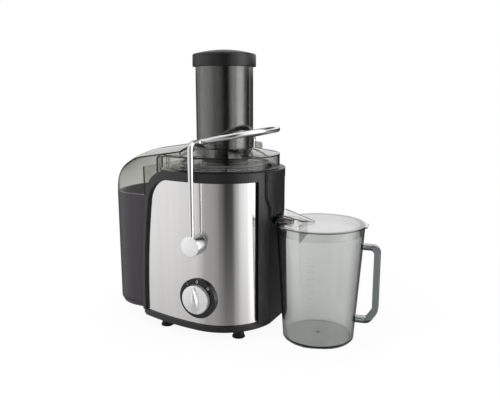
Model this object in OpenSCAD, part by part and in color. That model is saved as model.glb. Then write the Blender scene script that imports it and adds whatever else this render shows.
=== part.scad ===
// Centrifugal juicer with a wide feed tube, locking bail, side pulp container and juice jug.
// Z is up, the steel front looks along -Y and the spout along +X.
// The modules are drawn with the motor axis at x = y = 0; place() then puts the
// origin under the middle of the whole object. The feet stand on z = 0. Millimetres.

/* [Body] */
// Radius of the steel front about the motor axis
panel_r = 78; // [76:0.5:80]
// Radius of the flatter left half of the front
sweep_r = 360; // [320:5:420]
// Radius of the back about the motor axis
rear_r = 85; // [84:0.5:86]
// Radius of the flatter left half of the back
rear_sweep_r = 260; // [240:5:300]
// Distance of the flat spout side from the motor axis
side_x = 79; // [78:0.5:80]
// Distance of the pulp side wall from the motor axis
left_x = 96; // [94:0.5:97]
// Wall of the plastic housing
shell_wall = 3; // [2.4:0.2:4]
// Sheet thickness of the steel front
panel_t = 1.2; // [0.8:0.1:1.6]
// How far the black frame stands proud of the steel
frame_proud = 4; // [3:0.5:5]
// Width of the frame beside the steel, at the left
frame_left = 6; // [4:0.5:8]
// Width of the frame beside the steel, at the right
frame_right = 7; // [5:0.5:9]
// How far the frame's left edge reaches past the side wall
wing_w = 7; // [5:0.5:8]
// Height of the underside of the base
base_z = 12.5; // [11:0.5:14]
// Height of the base band
base_h = 9.5; // [8:0.5:12]
// Height of the seam between housing and top deck
deck_z = 219; // [214:1:224]
// Height of the top deck's rim
deck_h = 12.5; // [11:0.5:14]
// Radius of the deck rim on the spout side
rim_r = 86; // [85:0.5:87]

/* [Feet] */
// Flange radius of a suction foot
foot_r = 9; // [7:0.5:11]
// Distance of the left feet from the motor axis along X
foot_left = 68; // [60:1:74]
// Distance of the right feet from the motor axis along X
foot_right = 45; // [38:1:50]
// Distance of the left feet from the middle along Y
foot_left_y = 56; // [48:1:58]
// Distance of the right feet from the middle along Y
foot_right_y = 46; // [40:1:52]

/* [Dial] */
// Height of the dial centre
dial_z = 59.5; // [52:0.5:66]
// Radius of the dial bezel
dial_r = 28; // [24:0.5:32]
// Radius of the knob
knob_r = 20; // [17:0.5:22]
// Depth of the knob disc
knob_h = 7; // [5:0.5:10]
// Height of the grip ridge on the knob
grip_h = 6; // [4:0.5:8]

/* [Bail] */
// Height of the bail pivots
pivot_z = 136; // [126:1:146]
// Radius of a pivot button
button_r = 13.8; // [11:0.2:16]
// Distance of the bail uprights from the middle
bail_y = 91; // [90.5:0.5:94]
// Radius of the bail rod over the lid
rod_r = 4; // [3:0.25:4.5]
// Radius of the bail rod where it enters its button
rod_foot_r = 3; // [2.5:0.25:3.5]
// Height of the bail rod over the lid
bail_z = 271; // [270:0.5:276]
// Radius of the loop round the feed tube
loop_r = 68; // [64:1:72]
// Upward tilt of the loop
loop_tilt = 11.5; // [8:0.5:15]
// Pivot pin radius
pin_r = 4; // [3:0.25:5]

/* [Lid and feed tube] */
// Inner radius of the feed tube
feed_r = 37.5; // [34:0.5:38.5]
// Wall of the lid and the feed tube
lid_wall = 2.5; // [2:0.1:3]
// Height of the top of the feed tube
tube_z = 379.5; // [340:0.5:400]
// Outer radius of the lid
lid_r = 78; // [77:0.5:79]
// Height of the lid's shoulder
shoulder_z = 251.5; // [250:0.5:254]
// Height where the lid's cone meets the feed tube
neck_z = 259; // [258:0.5:262]
// Inner radius of the feed tube inside the basket
throat_r = 31; // [29:0.5:33]
// How far the hood's side walls stop short of the motor axis
hood_wrap = 70; // [66:1:80]
// Height of the hood's lower edge on the pulp container
hood_z = 192; // [186:1:198]

/* [Pusher] */
// Radius of the pusher cap
cap_r = 44; // [43:0.5:47]
// Height of the cap's skirt
cap_h = 16.5; // [14:0.5:22]
// Rise of the cap's dome
cap_dome = 6.3; // [4:0.1:9]
// Wall of the pusher
pusher_wall = 2; // [1.6:0.1:3]

/* [Pulp container] */
// Half depth of the container
pulp_w = 60.5; // [56:0.5:61]
// Distance of its far side from the motor axis
pulp_x = 173.5; // [164:0.5:178]
// Radius of its outer corners in plan
pulp_corner = 50; // [40:1:54]
// Height of its underside
pulp_z = 18; // [17.8:0.1:20]
// Wall of the container
pulp_wall = 2.5; // [2:0.1:3]

/* [Jug] */
// Distance of the jug's centre from the motor axis
jug_x = 142; // [141:0.5:150]
// Offset of the jug's centre towards the back
jug_y = 10; // [6:1:12]
// Turn of the jug about its own axis
jug_turn = 10; // [8:0.5:12]
// Radius at the jug's foot
jug_foot_r = 49.2; // [44:0.1:52]
// Radius at the jug's rim
jug_rim_r = 60; // [58:0.5:60.5]
// Height of the jug's rim
jug_h = 160; // [154:0.5:163]
// Wall of the jug
jug_wall = 2.5; // [2:0.1:3]
// How far the handle stands off the rim
handle_out = 21.5; // [20:0.5:34]
// Width of the handle
handle_w = 16; // [12:1:20]
// Thickness of the handle
handle_t = 6; // [5:0.5:9]

/* [Basket] */
// Radius of the basket's floor
basket_r0 = 45; // [42:0.5:47]
// Radius of the basket's rim
basket_r1 = 62; // [58:0.5:63]
// Height of the basket's floor
basket_z = 208; // [206:0.5:209]
// Height of the basket's rim
basket_top = 240; // [236:0.5:242]

/* [Motor] */
// Motor shaft radius
shaft_r = 4; // [3:0.25:5]
// Bearing outer radius
bearing_r = 11; // [9:0.5:13]
// Bearing width
bearing_w = 7; // [5:0.5:9]
// Armature radius
armature_r = 22; // [18:0.5:24]
// Height of the lamination stack
stack_h = 40; // [30:1:46]
// Fan radius
fan_r = 36; // [30:1:38]

/* [Hidden] */
$fn = 96;

// Clearance of a piece seated in or on another
seat = 0.1;
// Clearance of pieces that move past each other
gap = 0.3;
// Walls round the hood's pockets
pocket_wall = 2.2;
// How far the base band is set back from the frame
base_inset = 2;
// Running clearance of a shaft in its bearing
run = 0.05;
// Longer than anything in the model
far = 400;

// Middle of the whole object along X, from the container to the jug's handle
handle_x = jug_x + (jug_rim_r + handle_out) * cos(jug_turn) + handle_w / 2 * sin(jug_turn);
middle_x = round(handle_x - pulp_x) / 2;

// Heights of the housing
base_top = base_z + base_h;
rim_z = deck_z + deck_h;
// Front surface of the shell behind the steel
shell_in = -panel_t - seat;
// How far back the frame and the panel reach
frame_back = 20;

// Left edge of the frame seen from the front
edge_r = 950;
edge_z = 30;
edge_x = edge_r - left_x - wing_w;
frame_corner = 42;
side_step_z = jug_h + 9;
frame_top = deck_h;

// Deck well and collector
well_r = 70;
well_wall = 2.5;
floor_t = 3;
bowl_z = basket_z - 18;
well_z = bowl_z - 7;
collector_r = well_r - 0.5;
collector_wall = 2.2;
flange_z = rim_z + 0.2;
flange_t = 1.5;
lid_z = flange_z + flange_t + 0.2;
chimney_r = 20;
chimney_z = bowl_z + 12;
// Half width of the pulp's way out over the flange
chute_w = 43;

// Spout block on the collector, seen from the spout side
block_y = -1;
block_w = 27;
block_z = 202;
shroud_w = 13;
shroud_z = jug_h + 11;
shroud_wall = 2.5;
shroud_r = rim_r - 0.7;

// Nozzle under the spout block
nozzle_r = 7;
nozzle_wall = 1.6;
nozzle_tilt = 11;
nozzle_x = 80;
nozzle_z = jug_h + 4;
nozzle_end = 25;
nozzle_back = 9;
neck_r = 6;
neck_x = 76;

// Lid
band_in = lid_r - lid_wall;
tube_r = feed_r + lid_wall;
throat_top = neck_z - 13;
throat_z = basket_z + 6;
hood_cx = -90;
hood_cz = 182;
hood_r = 74.5;
hood_arch = 217;
hood_pitch = 9;
hood_end = 36;
shoulder_x = 68;
shoulder_corner = 7;
cone_ledge = 1;
ramp_r = 16.2;
ramp_x = 8.4;
ramp_z = 256.8;
ramp_pitch = 3.6;
ramp_t = 1.6;

// Pusher
pusher_gap = 1;
pusher_r = feed_r - pusher_gap;
pusher_tip_r = throat_r - pusher_gap;
pusher_z = throat_z + 2.5;
cap_top = tube_z + gap;
cap_skirt_z = cap_top - 9.5;

// Dial
bezel_front = panel_r + 3;
knob_front = bezel_front + gap + knob_h;
knob_shaft_r = 3;
shaft_in = 60;

// Bail
button_front = bail_y + 7;
button_gap = 0.7;
elbow_r = 9;
weld_r = 0.1;
weld_gap = 0.2;
turn_r = 8;
cam_r = 12;
cam_drop = 3;
cam_y = 64;
cam_t = 6;
bail_open = 48;
plunger_r = 1.5;
plunger_l = 9;

// Motor
seal_r = 9;
coupling_r = 9;
coupling_z = bowl_z + 3;
shaft_z = 30;
lower_bearing_z = 34;
fan_z = 46;
fan_h = 12;
fan_hub = 9;
blade_t = 1.4;
stack_z = 68;
commutator_z = 122;
commutator_h = 14;
upper_bearing_z = 142;
bracket_t = 3;
motor_w = 42;
post_t = 4;
post_in = motor_w - post_t;
motor_d = 36;
mount_x = 34;
mount_y = 30;
mount_h = 10;

// Dial switch inside the housing
switch_w = 32;
switch_d = 15;
switch_y = 70;
switch_collar_r = 7;
tab_pitch = 10;
tab_w = 3;
tab_l = 9;
tab_t = 0.8;

// Base, feet and screws
foot_places = [[-foot_left, -foot_left_y], [foot_right, -foot_right_y],
    [-foot_left, foot_left_y], [foot_right, foot_right_y]];
screw_inset = 6.5;
screw_places = [[-left_x + screw_inset, 0], [-20, -panel_r + screw_inset + 2],
    [-20, rear_r - screw_inset - 0.8],
    [side_x - screw_inset, 0]];
foot_neck = 4;
screw_r = 1.6;
screw_head_r = 3.1;
screw_head_h = 1.8;
boss_r = 4.5;
boss_h = base_h - seat;

// Cord gland
gland_x = 40;
gland_z = 44;
gland_r = 8;

// Pivot pins and cam
front_pin_in = 66;
rear_pin_in = 56;
cam_steps = 24;
cam_span = 96;

// Motor mounts and brushes
mount_top = upper_bearing_z + bearing_w + mount_h;
bracket_z = upper_bearing_z + bearing_w - bracket_t;
brush_z = commutator_z + commutator_h / 2;
window_w = 48;
window_y = 22;
window_t = 16;
coil_y = 26.3;
coil_t = 6.8;
coil_in = 14;
coil_end = 7;
commutator_r = 11;
brush_w = 6;
brush_l = 18;
holder_x = 23.5;
holder_l = 20;
holder_t = 5;

// Basket
screen_t = 0.6;
screen_rows = 3;
screen_cols = 40;
screen_slot = 1.6;
screen_pitch = (basket_top - basket_z - 6) / screen_rows;
grater_t = 1;
tooth_h = 1.6;

// Jug
jug_inner_r = jug_rim_r - jug_wall;
notch_w = 12;
notch_z = jug_h - 12;
jug_floor_t = 3;
handle_z0 = 26.5;
handle_z1 = jug_h - 24;
handle_corner = 12;
handle_bevel_h = 18;
handle_bevel_angle = 58;
lid_plate_z = jug_h + seat;
lid_plate_t = 1.8;
skirt_t = 1.6;
skirt_r = jug_r(notch_z) - jug_wall - 2 * gap;
jug_hood_x = 50;
jug_hood_z = jug_h + 8.5;
jug_hood_r = 10;
jug_hood_r1 = 1.6;
jug_hood_l = 42;
jug_hood_fall = 8.5;
jug_hood_t = 1.4;
cheek_x = 31;

// Froth separator
separator_x = -24;
separator_w = 26;
separator_t = 1.6;
separator_h = 22;
separator_slots = 5;
separator_slot_w = 4;

// ---------------------------------------------------------------- helpers

module ring(outer, inner, h) {
    difference() {
        cylinder(r = outer, h = h);
        translate([0, 0, -1]) cylinder(r = inner, h = h + 2);
    }
}

// Cylinder from y = y0 towards +Y
module y_cylinder(x, y0, z, r, h) {
    translate([x, y0, z]) rotate([-90, 0, 0]) cylinder(r = r, h = h);
}

// Cylinder from x = x0 towards +X
module x_cylinder(x0, y, z, r, h) {
    translate([x0, y, z]) rotate([0, 90, 0]) cylinder(r = r, h = h);
}

module slab(z0, z1) {
    translate([0, 0, z0]) linear_extrude(z1 - z0) children();
}

// Front half of a plan: round of radius r on the right, sweeping with radius sweep on the left
module half_plan(r, sweep) {
    intersection() {
        circle(r = r);
        translate([0, -far]) square([far, far]);
    }
    intersection() {
        translate([0, sweep - r]) circle(r = sweep, $fn = 720);
        translate([-far, -far]) square([far, far]);
    }
}

module front_plan(d) {
    half_plan(panel_r + d, sweep_r + d);
}

// Whole plan of the housing, with front and back grown by their own amounts
module body_plan(front, back, left, right) {
    intersection() {
        union() {
            front_plan(front);
            mirror([0, 1]) half_plan(rear_r + back, rear_sweep_r + back);
        }
        translate([-left, -far]) square([left + right, 2 * far]);
    }
}

// Plan behind the frame: the front is set back, the spout side comes forward to the frame
module shell_plan() {
    body_plan(shell_in, 0, left_x, side_x);
    intersection() {
        body_plan(frame_proud, 0, 0, side_x);
        translate([0, -frame_back + seat]) square([far, far]);
    }
}

// Frame outline seen from the front, with its four sides drawn in
module front_outline(left, right, top, bottom) {
    r = frame_corner - 0.6 * left;
    z1 = rim_z - top;
    zc = z1 - r;
    xc = edge_x - sqrt(pow(edge_r - left - r, 2) - pow(zc - edge_z, 2));
    difference() {
        intersection() {
            translate([edge_x, edge_z]) circle(r = edge_r - left, $fn = 720);
            translate([-far, base_top + bottom]) square([far + side_x - right, z1 - base_top - bottom]);
        }
        difference() {
            translate([xc - far, zc]) square([far, far]);
            translate([xc, zc]) circle(r = r);
        }
    }
}

module front_block(left, right, top, bottom) {
    rotate([90, 0, 0]) linear_extrude(far) front_outline(left, right, top, bottom);
}

// ---------------------------------------------------------------- housing

module pin_holes(r) {
    y_cylinder(0, -far, pivot_z, r, 2 * far);
}

// Space over the shoulder that the front outline leaves at the top left
module shoulder_cut() {
    translate([0, far, 0]) rotate([90, 0, 0]) linear_extrude(2 * far) difference() {
        translate([-far, hood_z - gap]) square([far, far]);
        front_outline(0, 0, -1, 0);
    }
}

// Pockets that take the side walls of the hood, grown by d
module hood_pockets(d) {
    for (s = [-1, 1]) translate([-far, s * (pulp_w - lid_wall / 2) - lid_wall / 2 - gap - d,
        hood_z - gap - d])
        cube([far - hood_wrap + gap + d, lid_wall + 2 * gap + 2 * d, 60]);
}

// Round side over the jug, drawn in by d
module side_bulge(d) {
    intersection() {
        slab(side_step_z + d, deck_z + (d > 0 ? 1 : 0)) circle(r = rim_r - 0.5 - d);
        translate([0, -frame_back + seat + d, 0]) cube(far);
    }
}

module housing_shell() color([0.13, 0.12, 0.13]) difference() {
    union() {
        difference() {
            union() {
                slab(base_top, deck_z) shell_plan();
                side_bulge(0);
            }
            slab(base_top - 1, deck_z + 1)
                body_plan(shell_in - shell_wall, -shell_wall, left_x - shell_wall, side_x - shell_wall);
            side_bulge(shell_wall);
        }
        intersection() {
            slab(base_top, deck_z) body_plan(shell_in, 0, left_x, 0);
            hood_pockets(pocket_wall);
        }
        // Posts that take the base screws
        for (p = screw_places) translate([p[0], p[1], base_top]) cylinder(r = boss_r, h = 30);
        // Shoulder under the pulp chute
        intersection() {
            slab(hood_z - gap, deck_z) body_plan(shell_in, 0, left_x, 0);
            translate([-shell_wall, 0, -shell_wall]) shoulder_cut();
            front_block(0, 0, -1, 0);
        }
    }
    for (p = screw_places) translate([p[0], p[1], 0]) cylinder(r = screw_r, h = base_z + boss_h + 12);
    hood_pockets(0);
    shoulder_cut();
    pin_holes(pin_r + 2 + seat);
    y_cylinder(0, -far, dial_z, knob_shaft_r + 4, far);
    shroud_cut();
    // Keyhole for the nozzle
    x_cylinder(50, 0, nozzle_z, nozzle_r + 1.5, 50);
    slab(nozzle_z, shroud_z + 2) translate([50, -nozzle_r - 1.5]) square([50, 2 * nozzle_r + 3]);
    y_cylinder(gland_x, 0, gland_z, gland_r - 1.5, far);
}

module well_cut() {
    slab(well_z + floor_t, rim_z + 1) circle(r = well_r);
}

module top_deck() color([0.14, 0.13, 0.14]) difference() {
    union() {
        slab(deck_z + seat, rim_z) {
            body_plan(shell_in, 0, left_x, side_x);
            intersection() {
                circle(r = rim_r);
                translate([0, -frame_back + seat]) square([far, far]);
            }
        }
        slab(well_z, deck_z + 1) circle(r = well_r + well_wall);
        for (x = [-1, 1], y = [-1, 1])
            translate([x * mount_x, y * mount_y, mount_top]) cylinder(r = 7, h = well_z - mount_top + 1);
    }
    well_cut();
    translate([0, 0, well_z - 1]) cylinder(r = seal_r, h = 10);
    shroud_cut();
    hood_pockets(0);
    shoulder_cut();
    for (x = [-1, 1], y = [-1, 1])
        translate([x * mount_x, y * mount_y, mount_top - 1]) cylinder(r = 2, h = 16);
}

module front_frame() color([0.19, 0.18, 0.19]) difference() {
    intersection() {
        slab(base_top, rim_z) difference() {
            front_plan(frame_proud);
            front_plan(shell_in + seat);
            translate([-far, -frame_back]) square([2 * far, far]);
        }
        front_block(0, 0, 0, 0);
    }
    front_block(frame_left, frame_right, frame_top, -1);
    shroud_cut();
}

module front_panel() color([0.78, 0.76, 0.74]) difference() {
    intersection() {
        slab(base_top, rim_z) difference() {
            front_plan(0);
            front_plan(-panel_t);
            translate([-far, -frame_back]) square([2 * far, far]);
        }
        front_block(frame_left + seat, frame_right + seat, frame_top + seat, seat);
    }
    shroud_cut();
    pin_holes(pin_r + 2 + seat);
    y_cylinder(0, -far, dial_z, knob_shaft_r + 4, far);
}

module base_plate() color([0.11, 0.11, 0.12]) difference() {
    union() {
        slab(base_z + 3, base_top - seat) base_plan(0);
        slab(base_z, base_z + 3.1) base_plan(-1.2);
        // Ledge that carries the pulp container
        slab(base_z, pulp_z - gap) translate([-left_x - 16, -38]) square([17, 76]);
    }
    difference() {
        slab(base_z + 3, base_top + 1)
            body_plan(shell_in - shell_wall, -shell_wall, left_x - shell_wall, side_x - shell_wall);
        base_bosses();
    }
    for (i = [-3:3]) translate([i * 9 - 2.2, -26, base_z - 1]) cube([4.4, 52, 6]);
    for (p = foot_places) translate([p[0], p[1], base_z - 1]) cylinder(r = foot_neck + seat, h = 6);
    for (p = screw_places) translate([p[0], p[1], base_z - 1]) {
        cylinder(r = screw_r + seat, h = far);
        cylinder(r = screw_head_r + gap, h = screw_head_h + 1.4);
    }
}

// Bosses inside the base, for the feet and for the screws into the housing
module base_bosses() {
    for (p = foot_places) translate([p[0], p[1], base_z]) cylinder(r = 7, h = 9);
    for (p = screw_places) translate([p[0], p[1], base_z]) cylinder(r = boss_r, h = boss_h);
}

module base_plan(d) {
    body_plan(frame_proud - base_inset + d, d, left_x + d, side_x + d);
    // Wing under the frame's left edge, beside the container
    intersection() {
        body_plan(frame_proud - base_inset + d, 0, left_x + wing_w - 1 + d, 0);
        translate([-far, -pulp_w - gap - far]) square([far, far]);
    }
}

// Suction foot: neck in the base, stem and cupped flange
module foot(i) color([0.06, 0.06, 0.06]) translate([foot_places[i][0], foot_places[i][1], 0])
    rotate_extrude() polygon([[0, 1.2], [foot_r - 2.5, 0], [foot_r, 0], [foot_r, 1.6], [foot_r - 1.2, 3],
        [foot_r - 1.6, base_z - seat], [foot_neck, base_z - seat], [foot_neck, base_z + 4],
            [0, base_z + 4]]);

module base_screws() color([0.6, 0.6, 0.62]) for (p = screw_places)
    translate([p[0], p[1], base_z + 0.2]) {
    difference() {
        cylinder(r = screw_head_r, h = screw_head_h);
        for (a = [0, 90]) rotate(a) translate([-2, -0.4, -1]) cube([4, 0.8, 2]);
    }
    translate([0, 0, screw_head_h]) cylinder(r = screw_r, h = boss_h + 6);
}

// Rubber sleeve in the back wall for the mains lead
module cord_gland() color([0.05, 0.05, 0.05]) {
    wall_y = sqrt(rear_r * rear_r - gland_x * gland_x);
    difference() {
        union() {
            y_cylinder(gland_x, wall_y - 12, gland_z, gland_r - 1.7, 17);
            intersection() {
                y_cylinder(gland_x, wall_y - 14, gland_z, gland_r, 30);
                slab(0, 100) difference() {
                    circle(r = rear_r + 2.5);
                    circle(r = rear_r + seat);
                }
            }
        }
        y_cylinder(gland_x, wall_y - 20, gland_z, 3.6, 40);
    }
}

// ---------------------------------------------------------------- dial

module dial_bezel() color([0.1, 0.1, 0.11]) difference() {
    y_cylinder(0, -bezel_front, dial_z, dial_r, bezel_front - 60);
    slab(0, 200) front_plan(seat);
    y_cylinder(0, -bezel_front - 1, dial_z, knob_shaft_r + 1, 60);
}

module control_knob() color([0.82, 0.83, 0.84]) difference() {
    union() {
        y_cylinder(0, -knob_front, dial_z, knob_r, knob_h);
        // Grip ridge: a lens seen from the front
        intersection() {
            y_cylinder(-22, -knob_front - grip_h, dial_z, 27, grip_h + 1);
            y_cylinder(22, -knob_front - grip_h, dial_z, 27, grip_h + 1);
            translate([-10, -knob_front - grip_h, dial_z - knob_r + 2])
                cube([20, grip_h + 1, 2 * knob_r - 3]);
        }
    }
    y_cylinder(0, -knob_front + 1.5, dial_z, knob_shaft_r + seat, knob_h);
}

module knob_shaft() color([0.7, 0.7, 0.7]) difference() {
    y_cylinder(0, -knob_front + 1.6, dial_z, knob_shaft_r, knob_front - 1.6 - shaft_in);
    translate([-4, -knob_front, dial_z + knob_shaft_r - 0.8]) cube([8, knob_h - 1, 2]);
}

module rotary_switch() color([0.16, 0.16, 0.2]) difference() {
    union() {
        translate([-switch_w / 2, -switch_y, dial_z - switch_w / 2]) cube([switch_w, switch_d, switch_w]);
        y_cylinder(0, -panel_r + panel_t + shell_wall + 2 * seat, dial_z, switch_collar_r, switch_d / 2);
        for (i = [-1:1]) translate([i * tab_pitch - tab_w / 2, switch_d - switch_y - 1,
            dial_z - tab_t / 2])
            cube([tab_w, tab_l, tab_t]);
    }
    y_cylinder(0, -panel_r, dial_z, knob_shaft_r + run, panel_r - shaft_in + gap);
}

// ---------------------------------------------------------------- bail

// Upright, elbow and straight of the bail, at -Y
module bail_side() {
    upright_h = bail_z - elbow_r - pivot_z - pin_r - 0.5;
    loop_end = loop_r + turn_r;
    translate([0, -bail_y, pivot_z + pin_r + 0.5]) cylinder(r1 = rod_foot_r, r2 = rod_r, h = upright_h);
    translate([0, -bail_y + elbow_r, bail_z - elbow_r]) rotate([90, 0, -90])
        rotate_extrude(angle = 90) translate([elbow_r, 0]) circle(r = rod_r, $fn = 48);
    translate([0, -bail_y + elbow_r, bail_z]) rotate([-90, 0, 0])
        cylinder(r = rod_r, h = bail_y - elbow_r - loop_end - weld_gap);
    translate([0, -loop_end, bail_z]) sphere(r = rod_r + weld_r);
}

// Loop of the rod with the turns at its ends, which stop just inside the welds
module bail_loop() {
    weld_angle = weld_gap / turn_r * 180 / PI;
    translate([turn_r, 0, 0]) rotate([0, 0, -90])
        rotate_extrude(angle = 180) translate([loop_r, 0]) circle(r = rod_r, $fn = 48);
    for (m = [0, 1]) mirror([0, m, 0])
        translate([turn_r, -loop_r - turn_r, 0]) rotate([0, 0, 90])
            rotate_extrude(angle = 90 - weld_angle) translate([turn_r, 0]) circle(r = rod_r, $fn = 48);
}

module bail_rod() color([0.85, 0.85, 0.87]) {
    bail_side();
    mirror([0, 1, 0]) bail_side();
    translate([0, 0, bail_z]) rotate([0, -loop_tilt, 0]) bail_loop();
}

// Pivot button from its face at y = -button_front to y = -back
module pivot_button(back) difference() {
    y_cylinder(0, -button_front, pivot_z, button_r, button_front - back);
    translate([0, -bail_y, pivot_z + pin_r + 0.4])
        cylinder(r1 = rod_foot_r + seat, r2 = rod_foot_r + seat + 0.1, h = button_r);
    y_cylinder(0, -bail_y - 3, pivot_z, pin_r, bail_y);
}

module front_pivot_button() color([0.8, 0.8, 0.82]) pivot_button(panel_r + button_gap);
module rear_pivot_button() color([0.8, 0.8, 0.82]) mirror([0, 1, 0]) pivot_button(rear_r + button_gap);

module pivot_pin(inner) difference() {
    y_cylinder(0, -bail_y - 2.9, pivot_z, pin_r, bail_y + 2.9 - inner);
    difference() {
        y_cylinder(0, -inner - 2.6, pivot_z, pin_r + 1, 1.1);
        y_cylinder(0, -inner - 3, pivot_z, pin_r - 0.8, 2);
    }
}

module front_pivot_pin() color([0.6, 0.6, 0.62]) pivot_pin(front_pin_in);
module rear_pivot_pin() color([0.6, 0.6, 0.62]) mirror([0, 1, 0]) pivot_pin(rear_pin_in);

module pivot_bush(outer, inner) difference() {
    union() {
        y_cylinder(0, -outer, pivot_z, pin_r + 2, outer - inner);
        y_cylinder(0, -inner - 2, pivot_z, pin_r + 5, 2);
    }
    pin_holes(pin_r + run);
}

// Flat seat for a flange of radius r against a wall of radius wall_r
function seat_on(wall_r, r) = sqrt(wall_r * wall_r - r * r) - seat;

module front_pivot_bush() color([0.9, 0.9, 0.86])
    pivot_bush(panel_r - 0.4, seat_on(panel_r + shell_in - shell_wall, pin_r + 5) - 2);
module rear_pivot_bush() color([0.9, 0.9, 0.86]) mirror([0, 1, 0])
    pivot_bush(rear_r, seat_on(rear_r - shell_wall, pin_r + 5) - 2);

module pivot_clip(inner) difference() {
    y_cylinder(0, -inner - 2.5, pivot_z, pin_r + 3, 0.9);
    y_cylinder(0, -inner - 3, pivot_z, pin_r - 0.7, 2);
    translate([-pin_r + 1, -inner - 3, pivot_z - 12]) cube([2 * pin_r - 2, 2, 12]);
}

module pivot_clips() color([0.5, 0.5, 0.52]) {
    pivot_clip(front_pin_in);
    mirror([0, 1, 0]) pivot_clip(rear_pin_in);
}

// Spiral cam: its radius at the plunger falls evenly as the bail opens
module interlock_cam() color([0.9, 0.88, 0.8]) difference() {
    translate([0, cam_y + cam_t, pivot_z]) rotate([90, 0, 0]) linear_extrude(cam_t) union() {
        circle(r = pin_r + 3);
        polygon(concat([[0, 0]], [for (i = [0:cam_steps])
            let (a = i * cam_span / cam_steps - cam_span / 2,
                 r = cam_r - cam_drop * a / bail_open)
            [r * sin(a), -r * cos(a)]]));
    }
    pin_holes(pin_r);
}

module microswitch() color([0.1, 0.1, 0.12]) difference() {
    union() {
        translate([-10, cam_y - 1, pivot_z - cam_r - 18]) cube([20, cam_t + 4, 12]);
        translate([-10, cam_y + cam_t + 2, pivot_z - cam_r - 18])
            cube([20, rear_r - shell_wall - cam_y - cam_t - 3.2, 12]);
    }
    translate([0, cam_y + cam_t / 2, pivot_z - cam_r - 15]) cylinder(r = plunger_r + run, h = 20);
}

module switch_plunger() color([0.8, 0.2, 0.15])
    translate([0, cam_y + cam_t / 2, pivot_z - cam_r - gap - plunger_r]) {
        sphere(r = plunger_r, $fn = 32);
        translate([0, 0, -plunger_l]) cylinder(r = plunger_r, h = plunger_l);
    }

// ---------------------------------------------------------------- motor

module motor_shaft() color([0.62, 0.62, 0.65])
    translate([0, 0, shaft_z]) cylinder(r = shaft_r, h = coupling_z + 8 - shaft_z);

module bearing(z) translate([0, 0, z]) difference() {
    cylinder(r = bearing_r, h = bearing_w);
    translate([0, 0, -1]) cylinder(r = shaft_r + run, h = bearing_w + 2);
    for (e = [-1, bearing_w - 0.6]) translate([0, 0, e]) ring(bearing_r - 1.8, shaft_r + 1.8, 1.6);
}

module lower_bearing() color([0.7, 0.7, 0.72]) bearing(lower_bearing_z);
module upper_bearing() color([0.7, 0.7, 0.72]) bearing(upper_bearing_z);

// Pressed bracket: cup round the bearing on a bar with two posts to the lamination stack
module bracket_bar(z) translate([-motor_w, -9, z]) cube([2 * motor_w, 18, bracket_t]);

module lower_bracket() color([0.55, 0.56, 0.58]) difference() {
    union() {
        translate([0, 0, lower_bearing_z - 2]) cylinder(r = bearing_r + 2, h = bearing_w + 2);
        bracket_bar(lower_bearing_z + bearing_w - bracket_t);
        for (s = [-1, 1]) translate([s * (motor_w - post_t / 2) - post_t / 2, -9,
            lower_bearing_z + bearing_w - bracket_t])
            cube([post_t, 18, stack_z - lower_bearing_z - bearing_w + bracket_t - seat]);
    }
    translate([0, 0, lower_bearing_z]) cylinder(r = bearing_r, h = bearing_w + 1);
    translate([0, 0, lower_bearing_z - 3]) cylinder(r = shaft_r + 1, h = 8);
}

module upper_bracket() color([0.55, 0.56, 0.58]) difference() {
    union() {
        translate([0, 0, upper_bearing_z - 2]) cylinder(r = bearing_r + 2, h = bearing_w + 2);
        bracket_bar(bracket_z);
        for (s = [-1, 1]) {
            translate([s * (motor_w - post_t / 2) - post_t / 2, -9, stack_z + stack_h + seat])
                cube([post_t, 18, bracket_z - stack_z - stack_h - seat + 1]);
            translate([s * mount_x - 7, -mount_y - 7, bracket_z]) cube([14, 2 * mount_y + 14, bracket_t]);
        }
    }
    translate([0, 0, upper_bearing_z]) cylinder(r = bearing_r, h = bearing_w + 1);
    translate([0, 0, upper_bearing_z - 3]) cylinder(r = shaft_r + 1, h = 8);
    for (x = [-1, 1], y = [-1, 1]) translate([x * mount_x, y * mount_y, bracket_z - 1])
        cylinder(r = 2.2, h = 6);
}

module stator_core() color([0.45, 0.45, 0.47]) translate([0, 0, stack_z]) difference() {
    translate([-motor_w, -motor_d, 0]) cube([2 * motor_w, 2 * motor_d, stack_h]);
    translate([0, 0, -1]) cylinder(r = armature_r + 0.6, h = stack_h + 2);
    // Winding windows beside the poles
    for (s = [-1, 1]) translate([-window_w / 2, s * window_y - window_t / 2, -1])
        cube([window_w, window_t, stack_h + 2]);
}

module field_coils() color([0.72, 0.4, 0.2]) for (s = [-1, 1]) difference() {
    translate([gap - window_w / 2, s * coil_y - coil_t / 2, stack_z - coil_end])
        cube([window_w - 2 * gap, coil_t, stack_h + 2 * coil_end]);
    translate([-coil_in, s * coil_y - coil_t, stack_z + 4]) cube([2 * coil_in, 2 * coil_t, stack_h - 8]);
}

module armature_core() color([0.42, 0.42, 0.44]) translate([0, 0, stack_z + 2]) difference() {
    cylinder(r = armature_r, h = stack_h - 4);
    translate([0, 0, -1]) cylinder(r = shaft_r, h = stack_h);
    for (i = [0:11]) rotate(i * 30) translate([armature_r - 5, -1.2, -1]) cube([6, 2.4, stack_h]);
}

module armature_winding() color([0.75, 0.42, 0.2])
    for (z = [stack_z - coil_end, stack_z + stack_h - 2 + seat])
    translate([0, 0, z]) rotate_extrude() translate([shaft_r, 0])
        square([armature_r - shaft_r - 3, 9 - seat]);

module commutator() color([0.78, 0.5, 0.3]) translate([0, 0, commutator_z]) difference() {
    cylinder(r = commutator_r, h = commutator_h);
    translate([0, 0, -1]) cylinder(r = shaft_r, h = commutator_h + 2);
    for (i = [0:11]) rotate(i * 30 + 15) translate([commutator_r - 1.5, -0.3, -1])
        cube([3, 0.6, commutator_h + 2]);
}

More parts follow.
